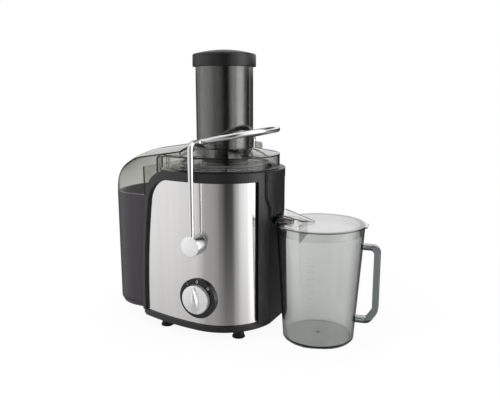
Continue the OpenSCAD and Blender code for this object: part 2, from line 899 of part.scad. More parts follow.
module brush_holders() color([0.2, 0.16, 0.12]) for (s = [-1, 1]) difference() {
    union() {
        translate([s * holder_x - holder_l / 2, -brush_w, brush_z - brush_w + 1])
            cube([holder_l, 2 * brush_w, 2 * brush_w - 2]);
        translate([s * (post_in - holder_t / 2) - holder_t / 2, -brush_w - 2, brush_z - brush_w])
            cube([holder_t, 2 * brush_w + 4, 2 * brush_w]);
    }
    translate([s * holder_x - holder_l, -brush_w / 2, brush_z - brush_w / 2])
        cube([2 * holder_l, brush_w, brush_w]);
}

module carbon_brushes() color([0.15, 0.15, 0.16]) for (s = [-1, 1])
    translate([s * (commutator_r + gap + brush_l / 2) - brush_l / 2, seat - brush_w / 2,
        brush_z - brush_w / 2 + seat])
        cube([brush_l, brush_w - 2 * seat, brush_w - 2 * seat]);

module cooling_fan() color([0.12, 0.12, 0.13]) translate([0, 0, fan_z]) {
    ring(fan_r, shaft_r, 2);
    ring(fan_hub, shaft_r, fan_h);
    // Nine blades leaning back from the hub
    translate([0, 0, 1]) linear_extrude(fan_h - 1) difference() {
        for (i = [0:8]) rotate(i * 40) translate([fan_hub - 1, 0]) rotate(-25)
            square([fan_r - fan_hub - 1, blade_t]);
        circle(r = fan_hub - 2);
    }
}

module motor_mounts() color([0.08, 0.08, 0.08]) for (x = [-1, 1], y = [-1, 1])
    translate([x * mount_x, y * mount_y, bracket_z + bracket_t + seat]) difference() {
        cylinder(r = 6.5, h = mount_top - bracket_z - bracket_t - 2 * seat);
        translate([0, 0, -1]) cylinder(r = 2.2, h = mount_h + 10);
    }

module motor_screws() color([0.62, 0.62, 0.64]) for (x = [-1, 1], y = [-1, 1])
    translate([x * mount_x, y * mount_y, bracket_z]) {
        translate([0, 0, -2.2 - seat]) cylinder(r = 4, h = 2.2);
        translate([0, 0, -seat * 2]) cylinder(r = 2 - seat, h = mount_top - bracket_z + 10);
    }

// ---------------------------------------------------------------- drive and collector

module shaft_seal() color([0.35, 0.1, 0.08]) translate([0, 0, well_z]) difference() {
    union() {
        cylinder(r = seal_r - seat, h = floor_t);
        translate([0, 0, floor_t + seat]) cylinder(r = seal_r + 2, h = 2);
        cylinder(r = seal_r - 1, h = floor_t + 1);
    }
    translate([0, 0, -1]) cylinder(r = shaft_r + run, h = 10);
}

module drive_coupling() color([0.1, 0.1, 0.11]) translate([0, 0, coupling_z]) difference() {
    union() {
        cylinder(r = coupling_r, h = 6);
        for (i = [0:2]) rotate(i * 120) translate([3, -2.5, 0]) cube([coupling_r - 1, 5, 10]);
        cylinder(r = 7, h = 10);
    }
    translate([0, 0, -1]) cylinder(r = shaft_r, h = 9);
}

// Half width of the spout block at height z: full above block_z, narrowing in a quarter wave
function shroud_half(z) = shroud_w + (block_w - shroud_w) * sin(90 * min(1,
    (z - shroud_z) / (block_z - shroud_z)));

// Spout block seen from the spout side, drawn in by d
module shroud_side(d) {
    steps = 10;
    z = [for (i = [0:steps]) shroud_z + i * (block_z - shroud_z) / steps];
    translate([block_y, 0]) polygon(concat(
        [[shroud_w - d, shroud_z + d]],
        [for (i = [1:steps]) [shroud_half(z[i]) - d, z[i]]],
        [[block_w - d, deck_z + 1], [d - block_w, deck_z + 1]],
        [for (i = [steps:-1:1]) [d - shroud_half(z[i]), z[i]]],
        [[d - shroud_w, shroud_z + d]]));
}

// Room for the spout block in the housing
module shroud_cut() {
    translate([50, 0, 0]) rotate([90, 0, 90]) linear_extrude(60) union() {
        shroud_side(-gap);
        translate([block_y - block_w - gap, deck_z]) square([2 * block_w + 2 * gap, 40]);
    }
}

module shroud_block(d, x0, z1) {
    intersection() {
        translate([x0, 0, 0]) rotate([90, 0, 90]) linear_extrude(60) union() {
            shroud_side(d);
            translate([block_y - block_w + d, deck_z]) square([2 * (block_w - d), z1 - deck_z]);
        }
        slab(100, 300) circle(r = shroud_r - d);
    }
}

module juice_collector() color([0.12, 0.12, 0.13]) difference() {
    union() {
        // Bowl with its flange
        slab(bowl_z - 2.5, flange_z + 0.1) circle(r = collector_r);
        slab(flange_z, flange_z + flange_t) circle(r = lid_r - 0.5);
        // Spout block outside the bowl
        difference() {
            shroud_block(0, 60, flange_z + 0.05);
            slab(100, bowl_z - 2.5) circle(r = well_r + well_wall + 0.5);
        }
        intersection() {
            slab(deck_z + 0.2, rim_z) circle(r = rim_r);
            slab(100, 300) translate([60, block_y - block_w]) square([40, 2 * block_w]);
        }
    }
    difference() {
        slab(bowl_z, flange_z + 5) circle(r = collector_r - collector_wall);
        translate([0, 0, bowl_z - 1]) cylinder(r = chimney_r, h = chimney_z - bowl_z + 1);
    }
    // Hollow of the chimney over the coupling
    translate([0, 0, bowl_z - 10]) cylinder(r = chimney_r - 2.2, h = chimney_z - bowl_z + 20);
    // Channel from the bowl down to the nozzle
    difference() {
        shroud_block(shroud_wall, 62, deck_z - 1);
        slab(100, bowl_z) circle(r = well_r + well_wall + 3);
    }
    translate([neck_x, 0, shroud_z - 10]) cylinder(r = neck_r + seat, h = 20);
    // Way out for the pulp on the container side
    slab(rim_z - 3, flange_z + 5) translate([-far, -chute_w]) square([far - 30, 2 * chute_w]);
}

// Tilted nozzle with a neck up into the spout block
module nozzle_axis() {
    translate([nozzle_x, 0, nozzle_z]) rotate([0, 90 + nozzle_tilt, 0]) children();
}

module spout_nozzle() color([0.32, 0.27, 0.22, 0.7]) difference() {
    union() {
        nozzle_axis() translate([0, 0, -nozzle_back])
            cylinder(r = nozzle_r, h = nozzle_end + nozzle_back);
        translate([neck_x, 0, nozzle_z]) cylinder(r = neck_r, h = shroud_z + shroud_wall - nozzle_z);
    }
    nozzle_axis() translate([0, 0, -nozzle_back + nozzle_wall])
        cylinder(r = nozzle_r - nozzle_wall, h = 60);
    translate([neck_x, 0, nozzle_z]) cylinder(r = neck_r - nozzle_wall, h = 30);
}

// ---------------------------------------------------------------- basket

module filter_basket() color([0.85, 0.85, 0.86]) difference() {
    union() {
        // Hub over the coupling
        translate([0, 0, coupling_z + 6 + seat]) cylinder(r = 14, h = basket_z - coupling_z - 6);
        translate([0, 0, basket_z - 2]) cylinder(r = basket_r0 + 1.5, h = 2);
        // Rim
        translate([0, 0, basket_top - 3]) ring(basket_r1 + 1, basket_r1 - 2.2, 3);
        // Ribs outside the screen
        for (i = [0:5]) rotate(i * 60) rotate([90, 0, 0]) translate([0, 0, -1]) linear_extrude(2)
            polygon([[basket_r0, basket_z - 1], [basket_r0 + 1.5, basket_z - 1],
                [basket_r1 + 0.6, basket_top - 2], [basket_r1 - 0.9, basket_top - 2]]);
    }
    translate([0, 0, coupling_z]) intersection() {
        cylinder(r = 7 + seat, h = 10 + seat);
        translate([0, 0, 0]) cylinder(r = 20, h = 20);
    }
    for (i = [0:2]) rotate(i * 120) translate([3 - seat, -2.5 - seat, coupling_z])
        cube([coupling_r, 5 + 2 * seat, 10 + seat]);
}

module mesh_screen() color([0.75, 0.76, 0.78]) difference() {
    rotate_extrude() polygon([[basket_r0 - screen_t - 0.2, basket_z + seat],
        [basket_r0 - 0.2, basket_z + seat],
        [basket_r1 - 1.2 - 0.2, basket_top - 3 - seat],
            [basket_r1 - 1.2 - 0.2 - screen_t, basket_top - 3 - seat]]);
    for (j = [0:screen_rows - 1], i = [0:screen_cols - 1])
        rotate((i + (j % 2) / 2) * 360 / screen_cols)
            translate([basket_r0 - 6, -screen_slot / 2, basket_z + 2.4 + j * screen_pitch])
                cube([30, screen_slot, screen_pitch - 2]);
}

module grater_disc() color([0.8, 0.81, 0.83]) {
    difference() {
        translate([0, 0, basket_z + seat]) cylinder(r = basket_r0 - 1.4, h = grater_t);
        translate([0, 0, basket_z - 1]) cylinder(r = 2, h = 4);
    }
    for (j = [0:4], i = [0:5 + 4 * j]) rotate(i * 360 / (6 + 4 * j) + j * 11)
        translate([10 + 7 * j, 0, basket_z + seat + grater_t - 0.01])
        rotate([90, 0, 0]) translate([0, 0, -0.4]) linear_extrude(0.8)
            polygon([[-1.6, 0], [1.6, 0], [0.6, tooth_h], [-0.2, tooth_h]]);
}

// ---------------------------------------------------------------- lid

// Plan of the pulp container, drawn in by d; the hood has the same outline
module pulp_plan(d, right) {
    r = pulp_corner - d;
    intersection() {
        union() {
            translate([-pulp_x + pulp_corner, -pulp_w + d]) square([pulp_x, 2 * (pulp_w - d)]);
            translate([-pulp_x + d, -pulp_w + pulp_corner])
                square([pulp_corner, 2 * (pulp_w - pulp_corner)]);
            for (s = [-1, 1]) translate([-pulp_x + pulp_corner, s * (pulp_w - pulp_corner)])
                circle(r = r);
        }
        translate([-far, -far]) square([far - right, 2 * far]);
    }
}

// Arched section of the hood, with the height over the hood's axis along X
module hood_section(d) {
    intersection() {
        translate([hood_r - hood_arch, 0]) circle(r = hood_arch - d, $fn = 180);
        translate([0, -far / 2]) square([far, far]);
    }
}

module hood_top(d) {
    translate([hood_cx, 0, hood_cz]) {
        rotate([-90, 0, 0]) rotate_extrude() hood_section(d);
        rotate([0, -hood_pitch, 0]) rotate([0, -90, 180]) linear_extrude(110) hood_section(d);
    }
}

module hood_solid(d) {
    intersection() {
        hood_top(d);
        slab(hood_z, 320) pulp_plan(d, hood_end + (d > 0 ? 2.5 : 0));
    }
}

// Plan of the lid: round over the basket, and on the pulp side a shoulder that follows the front
module lid_shoulder_plan(d) {
    circle(r = lid_r - d);
    intersection() {
        union() {
            half_plan(lid_r - d, sweep_r - d);
            mirror([0, 1]) half_plan(lid_r - d, sweep_r - d);
        }
        translate([-shoulder_x + d, -far]) square([shoulder_x, 2 * far]);
    }
}

// Where the body's shoulder falls away, the lid's wall reaches down to it
module lid_skirt(d) {
    difference() {
        slab(hood_z + 20, lid_z + 0.1) intersection() {
            lid_shoulder_plan(d);
            translate([-far, -far]) square([far - 35, 2 * far]);
        }
        if (d == 0) translate([0, far, 0]) rotate([90, 0, 0]) linear_extrude(2 * far)
            front_outline(-gap, 0, -1 - gap, 0);
    }
}

// Rounds off the shoulder's upper left edge
module shoulder_round(d) {
    r = shoulder_corner - d;
    translate([-shoulder_x + shoulder_corner, 0, shoulder_z - shoulder_corner]) difference() {
        translate([-far, -far, 0]) cube([far, 2 * far, shoulder_corner + 0.5]);
        y_cylinder(0, -far - 1, 0, r, 2 * far + 2);
    }
}

module lid_solid(d) {
    difference() {
        union() {
            slab(lid_z - (d > 0 ? 1 : 0), shoulder_z - (d > 0 ? 2 : 0)) lid_shoulder_plan(d);
            lid_skirt(d);
        }
        shoulder_round(d);
    }
    translate([0, 0, shoulder_z - (d > 0 ? 2 : 0) - 0.5])
        cylinder(r1 = lid_r - cone_ledge - d, r2 = tube_r - d, h = neck_z - shoulder_z + 0.5);
    difference() {
        hood_solid(d);
        slab(0, lid_z - (d > 0 ? 1 : 0)) {
            translate([-left_x - 2 - (d > 0 ? lid_wall : 0), -pulp_w + lid_wall])
                square([far, 2 * (pulp_w - lid_wall)]);
            translate([-hood_wrap, -far]) square([far, 2 * far]);
        }
    }
}

// Upright ribs inside the shoulder's front and back walls
module shoulder_ribs() {
    for (s = [0, 1], x = [-50, -46]) mirror([0, s, 0]) translate([x, -74, lid_z])
        cube([1.2, 5, shoulder_z - lid_z - 3]);
}

// Three thin ramps under each side of the bail's loop, just inside the path of its underside
module lid_ramps() {
    bail_reach = (bail_z - pivot_z) * cos(loop_tilt) - rod_r - gap;
    for (s = [-1, 1], i = [-1:1]) translate([0, s * (loop_r + i * ramp_pitch) + ramp_t / 2, 0])
        rotate([90, 0, 0]) linear_extrude(ramp_t) intersection() {
            translate([ramp_x, ramp_z]) circle(r = ramp_r);
            translate([-5, shoulder_z - 1]) square([6 + ramp_x + ramp_r, 40]);
            translate([0, pivot_z]) circle(r = bail_reach, $fn = 360);
        }
}

module feed_lid() color([0.42, 0.45, 0.42, 0.6]) difference() {
    union() {
        difference() {
            union() {
                lid_solid(0);
                lid_ramps();
            }
            difference() {
                lid_solid(lid_wall);
                slab(0, far) circle(r = tube_r);
                shoulder_ribs();
            }
            // Inside of the lid, round the throat
            difference() {
                slab(lid_z - 1, shoulder_z - 2) circle(r = band_in);
                slab(0, far) circle(r = throat_r + lid_wall);
            }
            difference() {
                translate([0, 0, throat_top - 40]) cylinder(r = tube_r + 1, h = 41);
                translate([0, 0, throat_top - 41]) cylinder(r = throat_r + lid_wall, h = 50);
            }
        }
        translate([0, 0, throat_z]) cylinder(r = throat_r + lid_wall, h = throat_top - throat_z + 1);
        translate([0, 0, throat_top])
            cylinder(r1 = throat_r + lid_wall, r2 = tube_r, h = neck_z - throat_top);
        translate([0, 0, neck_z - 0.1]) cylinder(r = tube_r, h = tube_z - neck_z + 0.1);
    }
    // Feed way: wide tube, funnel and throat
    translate([0, 0, throat_z - 50]) cylinder(r = throat_r, h = throat_top - throat_z + 51);
    translate([0, 0, throat_top]) cylinder(r1 = throat_r, r2 = feed_r, h = neck_z - throat_top);
    translate([0, 0, neck_z - 0.01]) cylinder(r = feed_r, h = far);
}

// ---------------------------------------------------------------- pusher

module pusher_body() color([0.2, 0.2, 0.2]) rotate_extrude() difference() {
    polygon([[0, pusher_z], [pusher_tip_r, pusher_z], [pusher_tip_r, throat_top + 1.5],
        [pusher_r, neck_z + 1.5],
        [pusher_r, cap_top + 3], [0, cap_top + 3]]);
    polygon([[0, pusher_z + pusher_wall], [pusher_tip_r - pusher_wall, pusher_z + pusher_wall],
        [pusher_tip_r - pusher_wall, throat_top + 1.5], [pusher_r - pusher_wall, neck_z + 1.5],
        [pusher_r - pusher_wall, cap_top + 4], [0, cap_top + 4]]);
}

module pusher_cap() color([0.12, 0.11, 0.12]) {
    dome_r = (cap_r * cap_r + cap_dome * cap_dome) / (2 * cap_dome);
    cap_shoulder = cap_skirt_z + cap_h;
    difference() {
        intersection() {
            translate([0, 0, cap_skirt_z]) cylinder(r = cap_r, h = cap_h + cap_dome + 1);
            translate([0, 0, cap_shoulder + cap_dome - dome_r]) sphere(r = dome_r, $fn = 180);
        }
        // Room for the tube's rim
        translate([0, 0, cap_skirt_z - 1]) cylinder(r = tube_r + 1.5, h = cap_top - cap_skirt_z + 1);
        translate([0, 0, cap_top - 1]) cylinder(r = pusher_r + seat, h = 4 + seat);
    }
}

// ---------------------------------------------------------------- pulp container

module pulp_slab(d, z) {
    translate([0, 0, z]) linear_extrude(0.1) pulp_plan(d, left_x + 2.2 + d);
}

module pulp_tub(d, z0) {
    hull() {
        pulp_slab(d + 9, z0);
        pulp_slab(d + 3, z0 + 2.6);
        pulp_slab(d, z0 + 9);
    }
    slab(z0 + 8.9, hood_z - gap + (d > 0 ? 1 : 0)) pulp_plan(d, left_x + 2.2 + d);
}

module pulp_container() color([0.17, 0.16, 0.17]) difference() {
    pulp_tub(0, pulp_z);
    pulp_tub(pulp_wall, pulp_z + pulp_wall);
}

// ---------------------------------------------------------------- jug

module jug_frame() {
    translate([jug_x, jug_y, 0]) rotate(jug_turn) children();
}

function jug_r(z) = jug_foot_r + (jug_rim_r - jug_foot_r) * z / jug_h;

// Slot in the rim that the nozzle passes through, w to each side
module jug_notch(w) {
    slab(notch_z, jug_h + 10) translate([-far, -w]) square([far - 40, 2 * w]);
}

module juice_jug() color([0.55, 0.57, 0.56, 0.5]) jug_frame() difference() {
    rotate_extrude() polygon([[0, 1], [jug_foot_r - 5, 1], [jug_foot_r - 4, 0], [jug_foot_r - 1, 0],
        [jug_foot_r, 1.2], [jug_rim_r, jug_h], [jug_inner_r, jug_h],
        [jug_foot_r - jug_wall, jug_floor_t + 1], [0, jug_floor_t + 1]]);
    jug_notch(notch_w);
}

// Side view of the handle's outer edge, drawn in by d
module handle_outline(d) {
    x1 = jug_rim_r + handle_out - d;
    z1 = handle_z1 - d;
    z0 = handle_z0 + d;
    r = handle_corner - d;
    intersection() {
        union() {
            translate([30, z0]) square([x1 - r - 30, z1 - z0]);
            translate([30, z0]) square([x1 - 30, z1 - r - z0]);
            translate([x1 - r, z1 - r]) circle(r = r);
        }
        translate([jug_rim_r + handle_out, handle_z0 + handle_bevel_h]) rotate(handle_bevel_angle)
            translate([-far, d]) square([2 * far, far]);
    }
}

module jug_handle() color([0.3, 0.33, 0.33, 0.7]) jug_frame() difference() {
    rotate([90, 0, 0]) translate([0, 0, -handle_w / 2]) linear_extrude(handle_w) difference() {
        handle_outline(0);
        handle_outline(handle_t);
    }
    translate([0, 0, -1]) cylinder(r1 = jug_r(-1) + seat, r2 = jug_r(jug_h + 20) + seat, h = jug_h + 21);
}

// Frame of the hood over the nozzle: x runs along its axis, down to the plate
module jug_hood_axis() {
    translate([-jug_hood_x, 0, jug_hood_z]) rotate([0, jug_hood_fall, 0]) children();
}

// Half cone over the nozzle, drawn in by d, with cheeks down to height z
module jug_hood(d, z) {
    taper = (jug_hood_r - jug_hood_r1) / jug_hood_l;
    back = d > 0 ? 5 : 0;
    cheek_r = jug_hood_r - 0.5 - taper * (jug_hood_x - cheek_x);
    jug_hood_axis() intersection() {
        translate([-back, 0, 0]) rotate([0, 90, 0])
            cylinder(r1 = jug_hood_r - d + back * taper, r2 = max(jug_hood_r1 - d, 0.2),
                h = jug_hood_l + back);
        translate([-far, -far, -0.3]) cube(2 * far);
    }
    difference() {
        slab(z, jug_hood_z + 5)
            polygon([[-cheek_x - back, d - cheek_r - back * taper],
                [-cheek_x - back, cheek_r - d + back * taper],
            [jug_hood_l - jug_hood_x - d, 0.8], [jug_hood_l - jug_hood_x - d, -0.8]]);
        jug_hood_axis() translate([-far, -far, 0]) cube(2 * far);
    }
}

module jug_lid() color([0.6, 0.62, 0.6, 0.5]) jug_frame() difference() {
    union() {
        slab(lid_plate_z, lid_plate_z + lid_plate_t) {
            circle(r = jug_rim_r + 0.6);
            translate([40, -11]) square([jug_rim_r - 40 + 3.5, 22]);
        }
        // Skirt inside the rim
        difference() {
            translate([0, 0, notch_z + 1]) cylinder(r = skirt_r, h = lid_plate_z - notch_z - 0.9);
            translate([0, 0, notch_z]) cylinder(r = skirt_r - skirt_t, h = lid_plate_z - notch_z);
        }
        jug_hood(0, lid_plate_z + 0.5);
    }
    jug_hood(jug_hood_t, notch_z);
    // Way in for the nozzle
    slab(notch_z, jug_h + 6) translate([-far, 0.5 - notch_w])
        square([far - cheek_x - 0.5, 2 * notch_w - 1]);
    // Groove that holds the froth separator
    slab(notch_z, lid_plate_z + 0.8)
        translate([separator_x - seat, -separator_w - seat])
            square([separator_t + 2 * seat, 2 * (separator_w + seat)]);
}

// Comb that hangs from the lid and holds the froth back at the pouring side
module froth_separator() color([0.6, 0.62, 0.6, 0.5]) jug_frame() difference() {
    slab(jug_h - separator_h, lid_plate_z + 0.7) translate([separator_x, -separator_w])
        square([separator_t, 2 * separator_w]);
    for (i = [0:separator_slots - 1]) slab(jug_h - separator_h - 1, jug_h - 6)
        translate([separator_x - 1,
            (i + 0.5 - separator_slots / 2) * 2 * separator_w / separator_slots - separator_slot_w / 2])
            square([separator_t + 2, separator_slot_w]);
}

// ---------------------------------------------------------------- assembly

module place() translate([-middle_x, 0, 0]) children();

place() housing_shell();
place() top_deck();
place() front_frame();
place() front_panel();
place() base_plate();
place() foot(0);  // foot_front_left
place() foot(1);  // foot_front_right
place() foot(2);  // foot_rear_left
place() foot(3);  // foot_rear_right
place() base_screws();
place() dial_bezel();
place() control_knob();
place() knob_shaft();
place() rotary_switch();
place() bail_rod();
place() front_pivot_button();
place() rear_pivot_button();
place() front_pivot_pin();
place() rear_pivot_pin();
place() front_pivot_bush();
place() rear_pivot_bush();
place() pivot_clips();
place() interlock_cam();
place() microswitch();
place() switch_plunger();
place() motor_shaft();
place() lower_bearing();
place() upper_bearing();
place() lower_bracket();
place() upper_bracket();
place() stator_core();
place() field_coils();
place() armature_core();
place() armature_winding();
place() commutator();
place() brush_holders();
place() carbon_brushes();
place() cooling_fan();
place() motor_mounts();
place() motor_screws();
place() shaft_seal();
place() drive_coupling();
place() juice_collector();
place() spout_nozzle();
place() filter_basket();
place() mesh_screen();
place() grater_disc();
place() feed_lid();
place() pusher_body();
place() pusher_cap();
place() pulp_container();
place() juice_jug();
place() jug_handle();
place() jug_lid();
place() froth_separator();
place() cord_gland();
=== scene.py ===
# %% [markdown]
# # A centrifugal juicer, dressed for its picture
#
# The CAD model already has every solid part of the juicer at its real size and place.
# This lesson gives those parts their finishes, replaces the few whose beauty needs a smoother
# or finer mesh, and sets up a camera and a small studio. Everything is in metres, with Z up.

import math

import bmesh
import bpy
from mathutils import Matrix, Vector


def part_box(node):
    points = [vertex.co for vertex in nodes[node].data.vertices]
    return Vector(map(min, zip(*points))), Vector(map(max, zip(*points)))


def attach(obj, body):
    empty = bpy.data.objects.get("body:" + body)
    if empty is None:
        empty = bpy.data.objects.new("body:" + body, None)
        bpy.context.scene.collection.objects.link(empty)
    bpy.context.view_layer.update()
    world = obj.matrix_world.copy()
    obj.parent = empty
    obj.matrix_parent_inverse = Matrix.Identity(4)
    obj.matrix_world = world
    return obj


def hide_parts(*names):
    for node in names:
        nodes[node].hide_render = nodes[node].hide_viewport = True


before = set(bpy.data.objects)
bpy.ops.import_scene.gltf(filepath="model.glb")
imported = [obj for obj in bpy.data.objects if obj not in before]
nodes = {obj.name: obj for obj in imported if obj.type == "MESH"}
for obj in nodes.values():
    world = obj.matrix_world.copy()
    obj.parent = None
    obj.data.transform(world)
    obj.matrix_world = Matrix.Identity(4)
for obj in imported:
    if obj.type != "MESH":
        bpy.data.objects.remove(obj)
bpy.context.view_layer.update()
scene = bpy.context.scene
MM = 0.001


def corners(node):
    """The lowest and the highest corner of a CAD node's box."""
    return [Vector(corner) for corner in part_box(node)]


def middle(node):
    low, high = corners(node)
    return (low + high) / 2


axis_x = middle("motor_shaft").x

# %% [markdown]
# ## Camera
#
# A product picture is taken from a little above the table and from the spout side, so that
# the steel front and the jug both show. A longish lens keeps the sides nearly upright.

# %% Camera
camera = bpy.data.objects.new("camera", bpy.data.cameras.new("camera"))
scene.collection.objects.link(camera)
camera.location = (0.36087, -0.68758, 0.33304)
camera.rotation_euler = (math.radians(79.18), 0, math.radians(26.72))
camera.data.sensor_width = 36
camera.data.lens = 39.863
scene.camera = camera
print("camera", tuple(round(c, 3) for c in camera.location))

# %% [markdown]
# ## Studio
#
# The background is plain white. What polished metal shows is the room round it, so the world
# has another picture for rays that have met a polished surface: a wide soft light on the left,
# the dark gap where the camera stands, and a narrower bright light on the right. A colour ramp
# over the compass direction paints it. Plain surfaces see an even grey, and area lamps give
# them form.

# %% What the room shows
ROOM = (
    # compass direction from the front towards the spout side, degrees, and brightness
    (-180, 0.05), (-135, 0.05), (-108, 0.16), (-90, 0.70), (-75, 0.98), (-52, 0.96), (-38, 0.88),
    (-24, 0.66), (-12, 0.44), (0, 0.42), (10, 0.34), (20, 0.18), (30, 0.045), (42, 0.06),
    (52, 0.50), (62, 0.98), (74, 1.15), (84, 1.90), (92, 2.30), (108, 2.10), (122, 0.60),
    (134, 0.10), (180, 0.05),
)
BRIGHTEST = max(level for _, level in ROOM)
CEILING, SWEEP, BELOW, EVEN = 0.9, 1.0, 0.36, 0.5

# Where each of them fades in, as the rise or the backward part of a direction of length 1.
SWEEP_FOOT, SWEEP_TOP, SWEEP_BACK = (0.02, 0.1), (0.5, 0.3), (0.3, 0.7)
CEILING_EDGE, BELOW_EDGE = (0.62, 0.9), (-0.16, -0.64)
print("room of", len(ROOM), "levels, up to", BRIGHTEST)


# %% Helpers for shader trees
def worked_out(tree, operation, first, second):
    """A Math node on two values, each a socket or a plain number."""
    node = tree.nodes.new("ShaderNodeMath")
    node.operation = operation
    for socket, value in zip(node.inputs, (first, second)):
        if isinstance(value, bpy.types.NodeSocket):
            tree.links.new(value, socket)
        else:
            socket.default_value = value
    return node.outputs[0]


def slope(tree, value, start, end):
    """Rises smoothly from 0 to 1 as the value goes from start to end."""
    ramp = tree.nodes.new("ShaderNodeMapRange")
    ramp.interpolation_type = "SMOOTHSTEP"
    ramp.inputs["From Min"].default_value = start
    ramp.inputs["From Max"].default_value = end
    tree.links.new(value, ramp.inputs["Value"])
    return ramp.outputs[0]


def blend_to(tree, colour, level, share):
    """Fades a colour to an even grey by the share."""
    mix = tree.nodes.new("ShaderNodeMix")
    mix.data_type = "RGBA"
    tree.links.new(share, mix.inputs["Factor"])
    tree.links.new(colour, mix.inputs["A"])
    mix.inputs["B"].default_value = (level, level, level, 1)
    return mix.outputs["Result"]


def mixed(tree, share, first, second):
    """The first shader where the share is 0, and the second where it is 1."""
    mix = tree.nodes.new("ShaderNodeMixShader")
    for socket, value in zip(mix.inputs, (share, first, second)):
        tree.links.new(value, socket)
    return mix.outputs[0]


def background(tree, strength, colour=None):
    """Light from the world, white unless a colour socket is given."""
    node = tree.nodes.new("ShaderNodeBackground")
    node.inputs["Strength"].default_value = strength
    node.inputs["Color"].default_value = (1, 1, 1, 1)
    if colour:
        tree.links.new(colour, node.inputs["Color"])
    return node.outputs[0]


# %% Picture of the room
def compass_ramp(tree, x, y):
    """The ROOM levels by the compass direction of a ray."""
    angle = worked_out(tree, "ARCTAN2", x, worked_out(tree, "MULTIPLY", y, -1))
    share = tree.nodes.new("ShaderNodeMapRange")
    share.inputs["From Min"].default_value = -math.pi
    share.inputs["From Max"].default_value = math.pi
    tree.links.new(angle, share.inputs["Value"])
    ramp = tree.nodes.new("ShaderNodeValToRGB")
    ramp.color_ramp.interpolation = "EASE"
    stops = ramp.color_ramp.elements
    for k, (degrees, level) in enumerate(ROOM):
        place = degrees / 360 + 0.5
        stop = stops[k] if k < 2 else stops.new(place)
        stop.position = place
        stop.color = (*[level / BRIGHTEST] * 3, 1)
    tree.links.new(share.outputs[0], ramp.inputs[0])
    return ramp.outputs[0]


def room_picture(tree):
    """High up hangs a broad overhead light. Behind the juicer the white sweep rises a little
    above the table, and what lies steeply below is the dark of the table's own shade."""
    direction = tree.nodes.new("ShaderNodeTexCoord")
    parts = tree.nodes.new("ShaderNodeSeparateXYZ")
    tree.links.new(direction.outputs["Generated"], parts.inputs[0])
    x, back, up = parts.outputs
    sweep = worked_out(
        tree, "MULTIPLY", slope(tree, up, *SWEEP_FOOT), slope(tree, up, *SWEEP_TOP),
    )
    sweep = worked_out(tree, "MULTIPLY", sweep, slope(tree, back, *SWEEP_BACK))
    picture = blend_to(tree, compass_ramp(tree, x, back), SWEEP / BRIGHTEST, sweep)
    picture = blend_to(tree, picture, CEILING / BRIGHTEST, slope(tree, up, *CEILING_EDGE))
    return blend_to(tree, picture, BELOW / BRIGHTEST, slope(tree, up, *BELOW_EDGE))


# %% World
def make_world():
    """A ray that has met a polished surface sees the room, also after it leaves through clear
    plastic. One that has met a plain surface sees the even grey. The rest see white."""
    world = bpy.data.worlds.new("studio")
    world.use_nodes = True
    tree = world.node_tree
    tree.nodes.clear()
    ray = tree.nodes.new("ShaderNodeLightPath").outputs
    met_gloss = worked_out(tree, "MINIMUM", ray["Glossy Depth"], 1)
    met_plain = worked_out(tree, "MINIMUM", ray["Diffuse Depth"], 1)
    room = background(tree, BRIGHTEST, room_picture(tree))
    lit = mixed(tree, met_gloss, background(tree, EVEN), room)
    bounced = worked_out(tree, "MAXIMUM", met_gloss, met_plain)
    through = worked_out(tree, "GREATER_THAN", ray["Is Transmission Ray"], bounced)
    seen = worked_out(tree, "MAXIMUM", ray["Is Camera Ray"], through)
    out = tree.nodes.new("ShaderNodeOutputWorld")
    tree.links.new(mixed(tree, seen, lit, background(tree, 1)), out.inputs["Surface"])
    scene.world = world


make_world()
scene.view_settings.view_transform = "Standard"
print("world with", len(scene.world.node_tree.nodes), "nodes")

# %% Lamps
LAMPS = (
    # name, place, size, watts
    ("key", (-0.9, -1.3, 1.5), 1.2, 19),
    ("fill", (1.5, -0.9, 1.1), 0.9, 10),
    ("top", (0.0, 0.3, 1.8), 1.4, 15),
)
LAMPS_AIM = Vector((0, 0, 0.18))


def add_lamp(name, place, size, watts):
    lamp = bpy.data.objects.new(name, bpy.data.lights.new(name, "AREA"))
    lamp.data.size = size
    lamp.data.energy = watts
    lamp.location = place
    lamp.rotation_euler = (LAMPS_AIM - Vector(place)).to_track_quat("-Z", "Y").to_euler()
    lamp.visible_glossy = False
    scene.collection.objects.link(lamp)


for lamp in LAMPS:
    add_lamp(*lamp)
print("lamps:", [lamp[0] for lamp in LAMPS])

# %% [markdown]
# ## Floor
#
# The floor is a sheet of white paper. Seen directly it glows a little, and ever more with the
# distance from the juicer, so it melts into the white background without a horizon. Close to
# the feet enough of the paper's own shading is left to keep the shadow. Polished surfaces look
# through it into the room, or its far corners would fill the steel with white.

# %% Floor
FLOOR_HALF = 6.0
PAPER = 0.86
NEAR, FAR = 0.28, 0.62              # metres from the frame's origin
GLOW_NEAR, GLOW_THROUGH = 0.93, 0.5


def paper_glow(tree):
    """How much of the white the floor shows, by the distance from the juicer."""
    place = tree.nodes.new("ShaderNodeTexCoord")
    reach = tree.nodes.new("ShaderNodeVectorMath")
    reach.operation = "LENGTH"
    tree.links.new(place.outputs["Object"], reach.inputs[0])
    fade = tree.nodes.new("ShaderNodeMapRange")
    fade.interpolation_type = "SMOOTHSTEP"
    fade.inputs["From Min"].default_value = NEAR
    fade.inputs["From Max"].default_value = FAR
    fade.inputs["To Min"].default_value = GLOW_NEAR
    tree.links.new(reach.outputs["Value"], fade.inputs["Value"])
    return fade.outputs[0]


